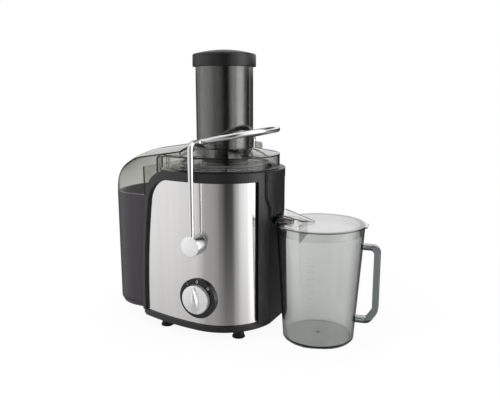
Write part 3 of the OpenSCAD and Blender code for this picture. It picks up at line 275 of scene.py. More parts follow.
def floor_white():
    material = bpy.data.materials.new("floor_white")
    material.use_nodes = True
    tree = material.node_tree
    tree.nodes.clear()
    paper = tree.nodes.new("ShaderNodeBsdfDiffuse")
    paper.inputs["Color"].default_value = (PAPER, PAPER, PAPER, 1)
    glow = tree.nodes.new("ShaderNodeEmission")
    glow.inputs["Strength"].default_value = 1
    unseen = tree.nodes.new("ShaderNodeBsdfTransparent")
    ray = tree.nodes.new("ShaderNodeLightPath").outputs
    through = worked_out(tree, "MULTIPLY", ray["Is Transmission Ray"], GLOW_THROUGH)
    direct = worked_out(tree, "MAXIMUM", ray["Is Camera Ray"], through)
    share = worked_out(tree, "MULTIPLY", direct, paper_glow(tree))
    sheet = mixed(tree, share, paper.outputs[0], glow.outputs[0])
    met_gloss = worked_out(tree, "MINIMUM", ray["Glossy Depth"], 1)
    out = tree.nodes.new("ShaderNodeOutputMaterial")
    tree.links.new(mixed(tree, met_gloss, sheet, unseen.outputs[0]), out.inputs["Surface"])
    return material


def make_floor():
    s = FLOOR_HALF
    mesh = bpy.data.meshes.new("floor")
    mesh.from_pydata([(-s, -s, 0), (s, -s, 0), (s, s, 0), (-s, s, 0)], [], [(0, 1, 2, 3)])
    mesh.materials.append(floor_white())
    floor = bpy.data.objects.new("floor", mesh)
    scene.collection.objects.link(floor)


make_floor()
print("floor of", 2 * FLOOR_HALF, "m")

# %% [markdown]
# ## Finishes
#
# Every finish starts from the same Principled shader. What makes it believable is a little
# unevenness: moulded plastic has a fine grain, brushed steel has long thin streaks, and clear
# plastic has a faint waviness. The patterns read Object coordinates, so they stay on the part
# when the part moves. A Bevel node softens the sharp CAD edges, so that each catches light.

# %% Helpers for materials
NOISE_LOW, NOISE_HIGH = 0.3, 0.7    # nearly all of a noise's values lie between these
EVERY_WAY = (1, 1, 1)
EDGE_SAMPLES = 4
finishes = []


def principled(name, colour, roughness, **sockets):
    material = bpy.data.materials.new(name)
    material.use_nodes = True
    shader = material.node_tree.nodes["Principled BSDF"]
    shader.inputs["Base Color"].default_value = (*colour, 1)
    shader.inputs["Roughness"].default_value = roughness
    for socket, value in sockets.items():
        shader.inputs[socket.replace("_", " ")].default_value = value
    finishes.append(name)
    return material


def streaks(material, stretch, scale, detail):
    """Noise on Object coordinates, stretched by its own amount along each axis."""
    tree = material.node_tree
    place = tree.nodes.new("ShaderNodeTexCoord")
    mapping = tree.nodes.new("ShaderNodeMapping")
    mapping.inputs["Scale"].default_value = stretch
    noise = tree.nodes.new("ShaderNodeTexNoise")
    noise.inputs["Scale"].default_value = scale
    noise.inputs["Detail"].default_value = detail
    tree.links.new(place.outputs["Object"], mapping.inputs["Vector"])
    tree.links.new(mapping.outputs[0], noise.inputs["Vector"])
    return noise.outputs["Fac"]


def vary(material, noise, roughness, low, high):
    """The noise moves the roughness between low and high times its own value."""
    tree = material.node_tree
    spread = tree.nodes.new("ShaderNodeMapRange")
    spread.inputs["From Min"].default_value = NOISE_LOW
    spread.inputs["From Max"].default_value = NOISE_HIGH
    spread.inputs["To Min"].default_value = low * roughness
    spread.inputs["To Max"].default_value = high * roughness
    tree.links.new(noise, spread.inputs["Value"])
    tree.links.new(spread.outputs[0], tree.nodes["Principled BSDF"].inputs["Roughness"])


def tint(material, noise, colour, low, high):
    """The noise moves the colour between two near shades, low and high times its own value."""
    tree = material.node_tree
    ramp = tree.nodes.new("ShaderNodeValToRGB")
    stops = ramp.color_ramp.elements
    for stop, place, share in zip(stops, (NOISE_LOW, NOISE_HIGH), (low, high)):
        stop.position = place
        stop.color = (*[share * c for c in colour], 1)
    tree.links.new(noise, ramp.inputs["Fac"])
    tree.links.new(ramp.outputs[0], tree.nodes["Principled BSDF"].inputs["Base Color"])


def grain(material, noise, depth, strength, edge=0.0):
    """The noise as a fine relief, with the edges rounded by edge metres first."""
    tree = material.node_tree
    bump = tree.nodes.new("ShaderNodeBump")
    bump.inputs["Distance"].default_value = depth
    bump.inputs["Strength"].default_value = strength
    tree.links.new(noise, bump.inputs["Height"])
    if edge:
        bevel = tree.nodes.new("ShaderNodeBevel")
        bevel.samples = EDGE_SAMPLES
        bevel.inputs["Radius"].default_value = edge
        tree.links.new(bevel.outputs[0], bump.inputs["Normal"])
    tree.links.new(bump.outputs[0], tree.nodes["Principled BSDF"].inputs["Normal"])


# %% [markdown]
# Moulded plastic carries a grain a few micrometres deep, and its colour and sheen drift by a
# few per cent over a hand's width. A thin wall gets no softened edge, because the Bevel node
# would reach round the whole wall. The pusher is a smoked tube that is all but black, so a
# strong coat over a dark body stands for its two polished faces.

# %% Opaque plastics
GRAIN_SCALE, GRAIN_STRENGTH = 1600, 0.25
CLOUD_SCALE = 22


def moulded_plastic(name, colour, roughness, depth=0.000005, edge=0.0009, **sockets):
    material = principled(name, colour, roughness, **sockets)
    relief = streaks(material, EVERY_WAY, GRAIN_SCALE, detail=2)
    grain(material, relief, depth, GRAIN_STRENGTH, edge)
    cloud = streaks(material, EVERY_WAY, CLOUD_SCALE, detail=3)
    tint(material, cloud, colour, 0.97, 1.03)
    vary(material, cloud, roughness, 0.96, 1.04)
    return material


charcoal = moulded_plastic("charcoal_plastic", (0.012, 0.011, 0.012), 0.3)
deck_black = moulded_plastic("deck_black_plastic", (0.014, 0.013, 0.014), 0.33)
black_gloss = moulded_plastic("black_gloss_plastic", (0.003, 0.003, 0.0033), 0.16, 0.00001)
black_matt = moulded_plastic("black_matt_plastic", (0.02, 0.02, 0.021), 0.5)
grey_plastic = moulded_plastic("grey_plastic", (0.25, 0.25, 0.25), 0.4)
white_plastic = moulded_plastic("white_plastic", (0.8, 0.8, 0.78), 0.4)
cap_plastic = moulded_plastic("cap_plastic", (0.009, 0.008, 0.009), 0.3)
rubber = moulded_plastic("rubber", (0.006, 0.006, 0.0065), 0.5, Specular_IOR_Level=0.25)
bin_plastic = moulded_plastic(
    "smoked_bin_plastic", (0.044, 0.038, 0.046), 0.3, 0.000002, edge=0, Specular_IOR_Level=0.3,
)
pusher_smoke = moulded_plastic(
    "pusher_smoke", (0.014, 0.014, 0.012), 0.08, 0.000004, edge=0, IOR=2.2,
    Coat_Weight=1.0, Coat_IOR=1.6, Coat_Roughness=0.05,
)
print("opaque plastics:", ", ".join(finishes))

# %% [markdown]
# The steel sheet of the front is brushed upright in lines much finer than a millimetre. They
# blur its reflections into soft upright bands. A smooth shader with very fine, shallow streaks
# does that, where deep or coarse streaks would look scratched. The knob and the buttons are
# plastic with a silver lacquer, so their shader is only partly metal.

# %% Metals
BRUSH_LINES, BRUSH_DEPTH, BRUSH_STRENGTH, BRUSH_EDGE = 3500, 0.000004, 0.12, 0.0005
BRUSH_SPREAD = 0.25
BAND_LINES = 160
LINE_STRETCH, BAND_STRETCH = (1, 1, 0.01), (1, 1, 0.02)
WEAR_SCALE = 60


def brushed_steel(name, colour, roughness):
    material = principled(name, colour, roughness, Metallic=1.0)
    lines = streaks(material, LINE_STRETCH, BRUSH_LINES, detail=3)
    bands = streaks(material, BAND_STRETCH, BAND_LINES, detail=2)
    grain(material, lines, BRUSH_DEPTH, BRUSH_STRENGTH, BRUSH_EDGE)
    vary(material, lines, roughness, 1 - BRUSH_SPREAD, 1 + BRUSH_SPREAD)
    tint(material, bands, colour, 0.975, 1.02)
    return material


def plain_metal(name, colour, roughness, metallic=1.0):
    material = principled(name, colour, roughness, Metallic=metallic)
    wear = streaks(material, EVERY_WAY, WEAR_SCALE, detail=4)
    vary(material, wear, roughness, 0.85, 1.2)
    tint(material, wear, colour, 0.96, 1.03)
    return material


steel_front = brushed_steel("brushed_steel", (0.76, 0.75, 0.735), 0.12)
chrome = plain_metal("chrome", (0.86, 0.86, 0.87), 0.06)
satin_silver = plain_metal("satin_silver", (0.92, 0.92, 0.92), 0.22, 0.7)
knob_silver = plain_metal("knob_silver_lacquer", (0.92, 0.92, 0.92), 0.3, 0.76)
steel = plain_metal("bright_steel", (0.62, 0.61, 0.6), 0.22)
dark_steel = plain_metal("lamination_steel", (0.2, 0.2, 0.21), 0.45)
copper = plain_metal("copper", (0.72, 0.30, 0.14), 0.35)
carbon = plain_metal("carbon", (0.06, 0.06, 0.06), 0.6)
print("finishes with the metals:", len(finishes))

# %% [markdown]
# The lid and the jug are clear plastic with a little smoke in it. The smoke is in the depth of
# the wall, not on its surface: an edge that is seen through more plastic looks darker. So the
# surface stays almost colourless, and a Volume Absorption darkens by distance. Its density
# says how fast, and its colour says which light is spared.

# %% Clear plastics
CLEAR, CLEAR_ROUGHNESS, CLEAR_IOR = (0.98, 0.98, 0.98), 0.02, 1.46
WAVE_SCALE, WAVE_DEPTH, WAVE_STRENGTH = 30, 0.0002, 0.03


def clear_plastic(name, density, spared):
    material = principled(name, CLEAR, CLEAR_ROUGHNESS, Transmission_Weight=1.0, IOR=CLEAR_IOR)
    wave = streaks(material, EVERY_WAY, WAVE_SCALE, detail=2)
    grain(material, wave, WAVE_DEPTH, WAVE_STRENGTH)
    vary(material, wave, CLEAR_ROUGHNESS, 0.8, 1.3)
    tree = material.node_tree
    smoke = tree.nodes.new("ShaderNodeVolumeAbsorption")
    smoke.inputs["Color"].default_value = (*spared, 1)
    smoke.inputs["Density"].default_value = density
    tree.links.new(smoke.outputs[0], tree.nodes["Material Output"].inputs["Volume"])
    return material


lid_clear = clear_plastic("lid_clear_smoke", 118, (0.12, 0.13, 0.0))
jug_clear = clear_plastic("jug_clear_smoke", 105, (0.02, 0.075, 0.025))
jug_lid_clear = clear_plastic("jug_lid_clear_smoke", 45, (0.02, 0.04, 0.02))
handle_clear = clear_plastic("handle_clear_smoke", 120, (0.02, 0.08, 0.08))
nozzle_clear = clear_plastic("nozzle_clear_smoke", 500, (0.12, 0.04, 0.0))
gate_clear = clear_plastic("gate_clear_smoke", 900, (0.02, 0.075, 0.025))
print("finishes with the clear plastics:", len(finishes))

# %% [markdown]
# ## Finish of each CAD node
#
# A CAD node keeps its mesh. Only its material slots are emptied and filled again. The inner
# parts get plain finishes too, because the lid and the open casing show some of them.

# %% Finish of each CAD node
FINISH = {
    charcoal: ("housing_shell", "front_frame", "base_plate", "cord_gland"),
    deck_black: ("top_deck", "juice_collector"),
    steel_front: ("front_panel",),
    pusher_smoke: ("pusher_body",),
    cap_plastic: ("pusher_cap",),
    black_gloss: ("dial_bezel",),
    black_matt: ("knob_shaft", "interlock_cam", "microswitch", "brush_holders", "drive_coupling"),
    satin_silver: ("control_knob", "front_pivot_button", "rear_pivot_button"),
    chrome: ("bail_rod",),
    bin_plastic: ("pulp_container",),
    rubber: (
        "foot_front_left", "foot_front_right", "foot_rear_left", "foot_rear_right",
        "shaft_seal", "motor_mounts",
    ),
    steel: (
        "front_pivot_pin", "rear_pivot_pin", "pivot_clips", "motor_shaft", "lower_bearing",
        "upper_bearing", "lower_bracket", "upper_bracket", "mesh_screen", "grater_disc",
        "motor_screws", "base_screws",
    ),
    dark_steel: ("stator_core", "armature_core"),
    copper: ("field_coils", "armature_winding", "commutator"),
    carbon: ("carbon_brushes",),
    grey_plastic: ("rotary_switch", "filter_basket"),
    white_plastic: ("switch_plunger", "cooling_fan", "front_pivot_bush", "rear_pivot_bush"),
    lid_clear: ("feed_lid",),
    jug_clear: ("juice_jug",),
    jug_lid_clear: ("jug_lid", "froth_separator"),
    handle_clear: ("jug_handle",),
    nozzle_clear: ("spout_nozzle",),
}

for material, names in FINISH.items():
    for name in names:
        mesh = nodes[name].data
        mesh.materials.clear()
        mesh.materials.append(material)
dressed = sum(len(names) for names in FINISH.values())
print("dressed", dressed, "of", len(nodes))

# %% [markdown]
# ## Helpers for new pieces
#
# Round pieces are turned: an outline of radius and height goes once round an axis. The outline
# is written with the radius of each rounded corner, because a small round edge is what tells a
# moulded piece from a plain cylinder. All outlines are in millimetres.

# %% Turned pieces
FILLET_CHORDS = 6
MERGE, ON_AXIS = 1e-7, 1e-6         # metres


def rounded(outline):
    """(radius, height, fillet) corners as points, with each fillet an arc of short chords."""
    points = []
    for i, (x, z, fillet) in enumerate(outline):
        corner = Vector((x, z))
        if not fillet:
            points.append(corner)
            continue
        before = (Vector(outline[i - 1][:2]) - corner).normalized()
        after = (Vector(outline[i + 1][:2]) - corner).normalized()
        half = before.angle(after) / 2
        centre = corner + (before + after).normalized() * fillet / math.sin(half)
        start = corner + before * fillet / math.tan(half) - centre
        end = corner + after * fillet / math.tan(half) - centre
        points += [
            centre + fillet * start.slerp(end, k / FILLET_CHORDS) for k in range(FILLET_CHORDS + 1)
        ]
    return points


def add_piece(name, mesh):
    piece = bpy.data.objects.new(name, mesh)
    scene.collection.objects.link(piece)
    return piece


def finish_mesh(name, bm, place, material, sharp=35):
    """A bmesh as a smooth piece, sharp where faces meet at more than the angle in degrees."""
    bmesh.ops.remove_doubles(bm, verts=bm.verts, dist=MERGE)
    bmesh.ops.recalc_face_normals(bm, faces=bm.faces)
    mesh = bpy.data.meshes.new(name)
    bm.to_mesh(mesh)
    bm.free()
    mesh.transform(place)
    mesh.shade_smooth()
    mesh.set_sharp_from_angle(angle=math.radians(sharp))
    mesh.materials.append(material)
    return add_piece(name, mesh)


def bridge(bm, loop, other):
    """A band of faces between two closed loops with as many corners."""
    for k in range(len(loop)):
        n = (k + 1) % len(loop)
        bm.faces.new((loop[k], loop[n], other[n], other[k]))


def turn_outline(bm, outline, steps=128):
    """Closed bands of faces round Z; a point on the axis becomes one shared corner."""
    rings = []
    for point in outline:
        count = steps if point.x > ON_AXIS else 1
        rings.append([
            bm.verts.new((point.x * math.cos(a), point.x * math.sin(a), point.y))
            for a in (2 * math.pi * k / steps for k in range(count))
        ])
    for low, high in zip(rings, rings[1:]):
        for a in range(steps):
            b = (a + 1) % steps
            ends = (low, a), (low, b), (high, b), (high, a)
            unique = list(dict.fromkeys(ring[k % len(ring)] for ring, k in ends))
            if len(unique) > 2:
                bm.faces.new(unique)


def turned(name, outline_mm, centre, material, facing="up", steps=128):
    """A closed turned piece; facing "front" lays its axis along -Y."""
    bm = bmesh.new()
    turn_outline(bm, [point * MM for point in rounded(outline_mm)], steps)
    place = Matrix.Translation(centre)
    if facing == "front":
        place = place @ Matrix.Rotation(math.pi / 2, 4, "X")
    return finish_mesh(name, bm, place, material)


# %% [markdown]
# ## Pusher cap
#
# The cap is one moulding with a slightly domed top, a round shoulder and a hollow that fits
# over the tube's rim. The CAD has the dome and the hollow; the turned piece adds the shoulder's
# radius and the small radius at the lower edge.

# %% Pusher cap
DOME, SHOULDER = 6.3, 2.2           # the dome's height above the side, and the round between
DOME_IN, DOME_UP = 2.0, 0.5         # where the dome starts, seen from the side's upper end
SOCKET_R, SOCKET_H = 41.5, 9.5      # the hollow that takes the tube's rim
PLUG_R, PLUG_H = 36.6, 12.7         # and inside it the recess under the dome
SOCKET_ROUND, FOOT_ROUND = 0.4, 0.8


def dome_heights(radius, height, rise, steps=10):
    """Points of a shallow dome from its edge to its middle."""
    ball = (radius * radius + rise * rise) / (2 * rise)
    return [
        (r, height - ball + math.sqrt(ball * ball - r * r), 0)
        for r in (radius * (1 - k / steps) for k in range(1, steps + 1))
    ]


def make_cap():
    low, high = corners("pusher_cap")
    radius, height = (high.x - low.x) / 2 / MM, (high.z - low.z) / MM
    outline = [
        (0, PLUG_H, 0), (PLUG_R, PLUG_H, 0), (PLUG_R, SOCKET_H, 0),
        (SOCKET_R, SOCKET_H, SOCKET_ROUND), (SOCKET_R, 0, SOCKET_ROUND), (radius, 0, FOOT_ROUND),
        (radius, height - DOME, SHOULDER), *dome_heights(radius - DOME_IN, height, DOME - DOME_UP),
    ]
    cap = turned("cap_of_pusher", outline, (axis_x, 0, low.z), cap_plastic)
    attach(cap, "pusher")
    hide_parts("pusher_cap")
    return cap


cap = make_cap()
print("cap", round(cap.dimensions.x / MM, 1), "mm wide,", len(cap.data.polygons), "faces")

# %% [markdown]
# ## Dial
#
# The knob is a silver disc with a ridge to grip, shaped like a boat: blunt at its lower end,
# widest below the middle and pointed at the top, where it shows the position. It is a row of
# arches, and two sine curves give each arch its width and its height.

# %% Knob
dial = middle("control_knob")
KNOB_H, KNOB_FOOT, KNOB_ROUND = 7.0, 0.3, 1.0
GRIP_H, GRIP_HALF, GRIP_LONG = 6.0, 6.4, 17.8
GRIP_SINK = 1.0                     # how deep the ridge stands in the disc
ARCH = 0.8                          # below 1 the arches are fuller than a half circle
WIDTH_WAVE = 0.22, 1.0              # the stretch of a sine curve used, in half turns
HEIGHT_WAVE = 0.1, 0.85


def sine_at(stretch, share):
    """The sine curve's value at a share of the way along the stretch."""
    start, end = stretch
    return math.sin(math.pi * (start + (end - start) * share))


def grip_ridge(bm, steps=28, arcs=10):
    """The ridge as a closed shell of its own, lying along Y on top of the disc."""
    base = KNOB_H - GRIP_SINK
    rows = []
    for k in range(steps + 1):
        share = k / steps
        half = GRIP_HALF * sine_at(WIDTH_WAVE, share)
        crest = GRIP_SINK + GRIP_H * sine_at(HEIGHT_WAVE, share)
        along = GRIP_LONG * (2 * share - 1)
        arch = [
            (-half * math.cos(a), along, base + crest * math.sin(a) ** ARCH)
            for a in (math.pi * j / arcs for j in range(arcs))
        ]
        rows.append([bm.verts.new(MM * Vector(spot)) for spot in (*arch, (half, along, base))])
    for row, after in zip(rows, rows[1:]):
        for j in range(arcs):
            bm.faces.new((row[j], row[j + 1], after[j + 1], after[j]))
        bm.faces.new((row[arcs], row[0], after[0], after[arcs]))
    bm.faces.new(rows[0])


def make_knob():
    low, high = corners("control_knob")
    radius = (high.z - low.z) / 2 / MM
    bm = bmesh.new()
    outline = rounded([
        (0, 0, 0), (radius, 0, KNOB_FOOT), (radius, KNOB_H, KNOB_ROUND), (0, KNOB_H, 0),
    ])
    turn_outline(bm, [point * MM for point in outline])
    grip_ridge(bm)
    place = Matrix.Translation((axis_x, high.y, dial.z)) @ Matrix.Rotation(math.pi / 2, 4, "X")
    knob = finish_mesh("knob", bm, place, knob_silver)
    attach(knob, "knob")
    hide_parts("control_knob")
    return knob


knob = make_knob()
print("knob", len(knob.data.polygons), "faces")

# %% [markdown]
# ## Pulp container
#
# The container bulges in two directions, and its solid is built of many long flat facets.
# Smooth shading alone would leave upright streaks, because it blends over the whole length of
# each facet. So a copy is cut at many levels first, and each new corner gets its own direction.

# %% Pulp container
LEVELS = 24


def make_container():
    low, high = corners("pulp_container")
    bm = bmesh.new()
    bm.from_mesh(nodes["pulp_container"].data)
    bmesh.ops.remove_doubles(bm, verts=bm.verts, dist=MERGE)
    for k in range(1, LEVELS):
        bmesh.ops.bisect_plane(
            bm, geom=bm.verts[:] + bm.edges[:] + bm.faces[:], dist=10 * MERGE,
            plane_co=low.lerp(high, k / LEVELS), plane_no=(0, 0, 1),
        )
    container = finish_mesh(
        "smooth_pulp_container", bm, Matrix.Identity(4), bin_plastic, sharp=32,
    )
    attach(container, "pulp")
    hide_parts("pulp_container")
    return container


container = make_container()
print("container", len(container.data.polygons), "faces")

# %% [markdown]
# ## Jug
#
# The jug's handle is a wide flat band bent into a loop. Its plain solid has sharp edges, and
# a clear piece lives from the light in its round ones. So the band is lofted: one rounded
# rectangle after another along a bent line, with the ends cut to the jug's sloping wall.

# %% Jug handle
JUG_FOOT_R, JUG_RIM_R, JUG_H, JUG_FLOOR = 49.2, 60.0, 160.0, 4.0
JUG_TURN = math.radians(10)
BAND_HALF_W, BAND_ROUND = 7.9, 2.2
BAND_HALF_T = 3.2, 4.2              # half its thickness, where it lies level and upright
BAND_GAP = 0.15                     # from the jug's wall
BAND_LINE = [
    # out from the jug's axis, height, and radius of the bend
    (57.0, 132.6, 0), (77.3, 132.6, 8.5), (77.3, 45.3, 14), (67.7, 30.0, 9), (50.0, 30.0, 0),
]


def jug_place(height=0.0, turn=0.0):
    """A place on the jug's own axis, at a height in metres and turned about that axis."""
    centre = middle("juice_jug")
    return Matrix.Translation((centre.x, centre.y, height)) @ Matrix.Rotation(turn, 4, "Z")


def wall_radius(z):
    return JUG_FOOT_R + (JUG_RIM_R - JUG_FOOT_R) * z / JUG_H


def band_section(half_t, chords=3):
    """(across the band, through the band) points of a rounded rectangle, corner by corner."""
    points = []
    for turn in range(4):
        for k in range(chords + 1):
            a = math.pi / 2 * (turn + k / chords)
            side = BAND_HALF_W - BAND_ROUND if turn in (0, 3) else BAND_ROUND - BAND_HALF_W
            face = half_t - BAND_ROUND if turn in (0, 1) else BAND_ROUND - half_t
            points.append((side + BAND_ROUND * math.cos(a), face + BAND_ROUND * math.sin(a)))
    return points


def make_handle():
    line = rounded(BAND_LINE)
    bm = bmesh.new()
    rings = []
    for k, spot in enumerate(line):
        along = (line[min(k + 1, len(line) - 1)] - line[max(k - 1, 0)]).normalized()
        out = Vector((-along.y, along.x))
        level, upright = BAND_HALF_T
        half_t = level + (upright - level) * abs(along.y)
        ring = []
        for across, through in band_section(half_t):
            x, z = spot + out * through
            if k in (0, len(line) - 1):
                x = math.sqrt(wall_radius(z) ** 2 - across ** 2) + BAND_GAP
            ring.append(bm.verts.new((x * MM, across * MM, z * MM)))
        rings.append(ring)
    for ring, after in zip(rings, rings[1:]):
        bridge(bm, ring, after)
    bm.faces.new(rings[0])
    bm.faces.new(rings[-1])
    handle = finish_mesh("handle_band", bm, jug_place(turn=JUG_TURN), handle_clear)
    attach(handle, "jug")
    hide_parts("jug_handle")
    return handle


handle = make_handle()
print("handle", len(handle.data.polygons), "faces, sides", [round(v, 4) for v in handle.dimensions])

# %% [markdown]
# Molten plastic enters the jug's mould in the middle of its floor, and leaves a small round
# scar there, with a raised lip. It is a tiny turned piece just above the floor.

# %% Gate mark in the jug
GATE_OUTLINE = [
    (0, 0.05, 0), (2.7, 0.05, 0.1),         # the flat underside, just clear of the floor
    (2.7, 0.6, 0.25), (2.1, 0.6, 0.25),     # the raised lip
    (1.5, 0.3, 0.1), (0.7, 0.3, 0.1),       # the dip inside it
    (0.4, 0.8, 0.1), (0, 0.8, 0),           # the small tip in the middle
]


def make_gate_mark():
    floor = jug_place(JUG_FLOOR * MM).translation
    mark = turned("gate_mark", GATE_OUTLINE, floor, gate_clear, steps=32)
    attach(mark, "jug")
    return mark


gate_mark = make_gate_mark()
print("gate mark", len(gate_mark.data.polygons), "faces")

# %% [markdown]
# ## Figures and buttons
#
# The figures 0, I and II stand round the knob as thin printed strokes. I and II are made of
# bars with round ends, and 0 is a wider bar with a hole in it.

# %% Figures on the dial
PRINT_T, PRINT_SINK = 0.12, 0.02
MARK_R, MARK_H, STROKE = 24.0, 4.0, 0.5
ZERO_W, BAR_GAP = 3.2, 1.0
ONE_TURN, TWO_TURN = math.radians(-40), math.radians(46)
face_y = corners("dial_bezel")[0].y + PRINT_SINK * MM
print_white = moulded_plastic("print_white", (0.62, 0.62, 0.62), 0.5, edge=0)


def stadium(width, height, steps=8):
    """A closed outline with two round ends."""
    r = width / 2
    arc = [math.pi * k / steps for k in range(steps + 1)]
    upper = [(r * math.cos(a), height / 2 - r + r * math.sin(a)) for a in arc]
    return upper + [(-x, -z) for x, z in upper]


def print_stroke(bm, outline, turn, shift=0.0, hole=None):
    """A thin printed shape at MARK_R, turned clockwise from the top of the dial."""
    def put(point, depth):
        spot = Vector((point[0] + shift, point[1] + MARK_R)) @ Matrix.Rotation(turn, 2)
        return bm.verts.new((axis_x + spot.x * MM, face_y - depth * MM, dial.z + spot.y * MM))

    loops = [outline] + ([hole] if hole else [])
    walls = [[[put(p, depth) for p in loop] for depth in (0, PRINT_T)] for loop in loops]
    for back, front in walls:
        bridge(bm, back, front)
    for side in (0, 1):
        if hole:
            bridge(bm, walls[0][side], walls[1][side])
        else:
            bm.faces.new(walls[0][side])


def make_figures():
    bm = bmesh.new()
    bar = stadium(STROKE, MARK_H)
    ring = stadium(ZERO_W, MARK_H)
    print_stroke(bm, bar, ONE_TURN)
    print_stroke(bm, ring, 0, hole=stadium(ZERO_W - 2 * STROKE, MARK_H - 2 * STROKE))
    for shift in (-BAR_GAP, BAR_GAP):
        print_stroke(bm, bar, TWO_TURN, shift)
    figures = finish_mesh("dial_figures", bm, Matrix.Identity(4), print_white)
    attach(figures, "base")
    return figures


figures = make_figures()
print("figures", len(figures.data.polygons), "faces")

# %% [markdown]
# The bail turns on two round buttons. Their faces have a soft satin finish and their sides are
# polished, so a button shows one quiet disc with bright and dark bands beside it. One mesh can
# carry both finishes: each face stores the number of its material.

# %% Pivot buttons
BUTTON_FOOT, BUTTON_ROUND = 0.3, 1.1
SIDE_LEAN = 0.3                     # a side's face points less than this along the axis


def make_button(node):
    low, high = corners(node)
    thick = (high.y - low.y) / MM
    radius = (high.z - low.z) / 2 / MM
    outline = [(0, 0, 0), (radius, 0, BUTTON_FOOT), (radius, thick, BUTTON_ROUND), (0, thick, 0)]
    front = node.startswith("front")
    button = turned("turned_" + node, outline, (0, 0, 0), satin_silver, "front")
    place = Matrix.Translation((axis_x, high.y if front else low.y, (low.z + high.z) / 2))
    if not front:
        place = place @ Matrix.Rotation(math.pi, 4, "Z")
    button.data.transform(place)
    button.data.materials.append(chrome)
    for face in button.data.polygons:
        face.material_index = int(abs(face.normal.y) < SIDE_LEAN)
    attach(button, "bail")
    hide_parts(node)
    return button


buttons = [make_button(node) for node in ("front_pivot_button", "rear_pivot_button")]
print("buttons", [len(b.data.polygons) for b in buttons])

# %% [markdown]
# ## Geometry Nodes
#
# Three pieces follow a path or repeat: the bent bail rod, the woven filter screen and the
# measuring lines on the jug. Each gets a small tree with named inputs. The tree's result is
# turned into a plain mesh, so nothing live is left on the piece.

# %% Helpers for node trees
def new_tree(name, inputs):
    """A tree with its Geometry sockets and one named input for each (name, kind)."""
    tree = bpy.data.node_groups.new(name, "GeometryNodeTree")
    tree.interface.new_socket("Geometry", in_out="INPUT", socket_type="NodeSocketGeometry")
    for label, kind in inputs:
        tree.interface.new_socket(label, in_out="INPUT", socket_type="NodeSocket" + kind)
    tree.interface.new_socket("Geometry", in_out="OUTPUT", socket_type="NodeSocketGeometry")
    start = tree.nodes.new("NodeGroupInput")
    return tree, start


def end_tree(tree, start, geometry):
    """Realize Instances, Set Material and the output close every tree."""
    real = tree.nodes.new("GeometryNodeRealizeInstances")
    finish = tree.nodes.new("GeometryNodeSetMaterial")
    out = tree.nodes.new("NodeGroupOutput")
    tree.links.new(geometry, real.inputs[0])
    tree.links.new(real.outputs[0], finish.inputs["Geometry"])
    tree.links.new(start.outputs["Finish"], finish.inputs["Material"])
    tree.links.new(finish.outputs[0], out.inputs[0])


def grow(name, tree, base, values):
    """Runs a tree on a base mesh once and keeps its plain result."""
    carrier = add_piece(name + "_base", base)
    modifier = carrier.modifiers.new(name, "NODES")
    modifier.node_group = tree
    for item in tree.interface.items_tree:
        if item.in_out == "INPUT" and item.name in values:
            modifier[item.identifier] = values[item.name]
    evaluated = carrier.evaluated_get(bpy.context.evaluated_depsgraph_get())
    mesh = bpy.data.meshes.new_from_object(evaluated)
    mesh.name = name
    bpy.data.objects.remove(carrier)
    return add_piece(name, mesh)


def outward(piece, sharp=40):
    """Turns every face of closed shells outwards and shades them smooth."""
    bm = bmesh.new()
    bm.from_mesh(piece.data)
    bmesh.ops.remove_doubles(bm, verts=bm.verts, dist=MERGE)
    bmesh.ops.recalc_face_normals(bm, faces=bm.faces)
    if bm.calc_volume(signed=True) < 0:
        bmesh.ops.reverse_faces(bm, faces=bm.faces)
    bm.to_mesh(piece.data)
    bm.free()
    piece.data.shade_smooth()
    piece.data.set_sharp_from_angle(angle=math.radians(sharp))


# %% [markdown]
# The bail is one bent chrome rod: up from each pivot button, over the lid and in a wide tilted
# loop round the feed tube. Its path is a row of points, and the tree sweeps a circle along it.
# A stored taper makes the rod thinner where it enters the buttons.

# %% Bail's path
BAIL_Y, BAIL_Z, ELBOW_R = 91.0, 271.0, 9.0
LOOP_R, TURN_R, LOOP_TILT = 68.0, 8.0, math.radians(11.5)
FOOT_Z, FOOT_TAPER = 140.5, 0.75
ROD_R, ROD_SIDES = 4.0, 28
BEND_CHORDS, LOOP_CHORDS = 8, 24    # each over a quarter of a circle


def quarter(chords, first=0):
    """The angles of a quarter circle cut into chords."""
    return [math.pi / 2 * k / chords for k in range(first, chords + 1)]


def bail_half():
    """Points of the front half with the taper of each, in mm from the motor axis."""
    points = [((0, -BAIL_Y, FOOT_Z), FOOT_TAPER), ((0, -BAIL_Y, BAIL_Z - ELBOW_R), 1)]
    for a in quarter(BEND_CHORDS, 1):
        y = -BAIL_Y + ELBOW_R * (1 - math.cos(a))
        points.append(((0, y, BAIL_Z - ELBOW_R * (1 - math.sin(a))), 1))
    turn = [
        (TURN_R * (1 - math.cos(a)), -LOOP_R - TURN_R * (1 - math.sin(a)))
        for a in quarter(BEND_CHORDS)
    ]
    loop = [
        (TURN_R + LOOP_R * math.sin(a), -LOOP_R * math.cos(a)) for a in quarter(LOOP_CHORDS, 1)
    ]
    for x, y in turn + loop:
        points.append(((x * math.cos(LOOP_TILT), y, BAIL_Z + x * math.sin(LOOP_TILT)), 1))
    return points


def bail_path():
    front = bail_half()
    back = [((x, -y, z), taper) for (x, y, z), taper in front[-2::-1]]
    path = front + back
    mesh = bpy.data.meshes.new("bail_path")
    spots = [(axis_x + x * MM, y * MM, z * MM) for (x, y, z), _ in path]
    mesh.from_pydata(spots, [(k, k + 1) for k in range(len(path) - 1)], [])
    taper = mesh.attributes.new("taper", "FLOAT", "POINT")
    for k, (_, value) in enumerate(path):
        taper.data[k].value = value
    return mesh


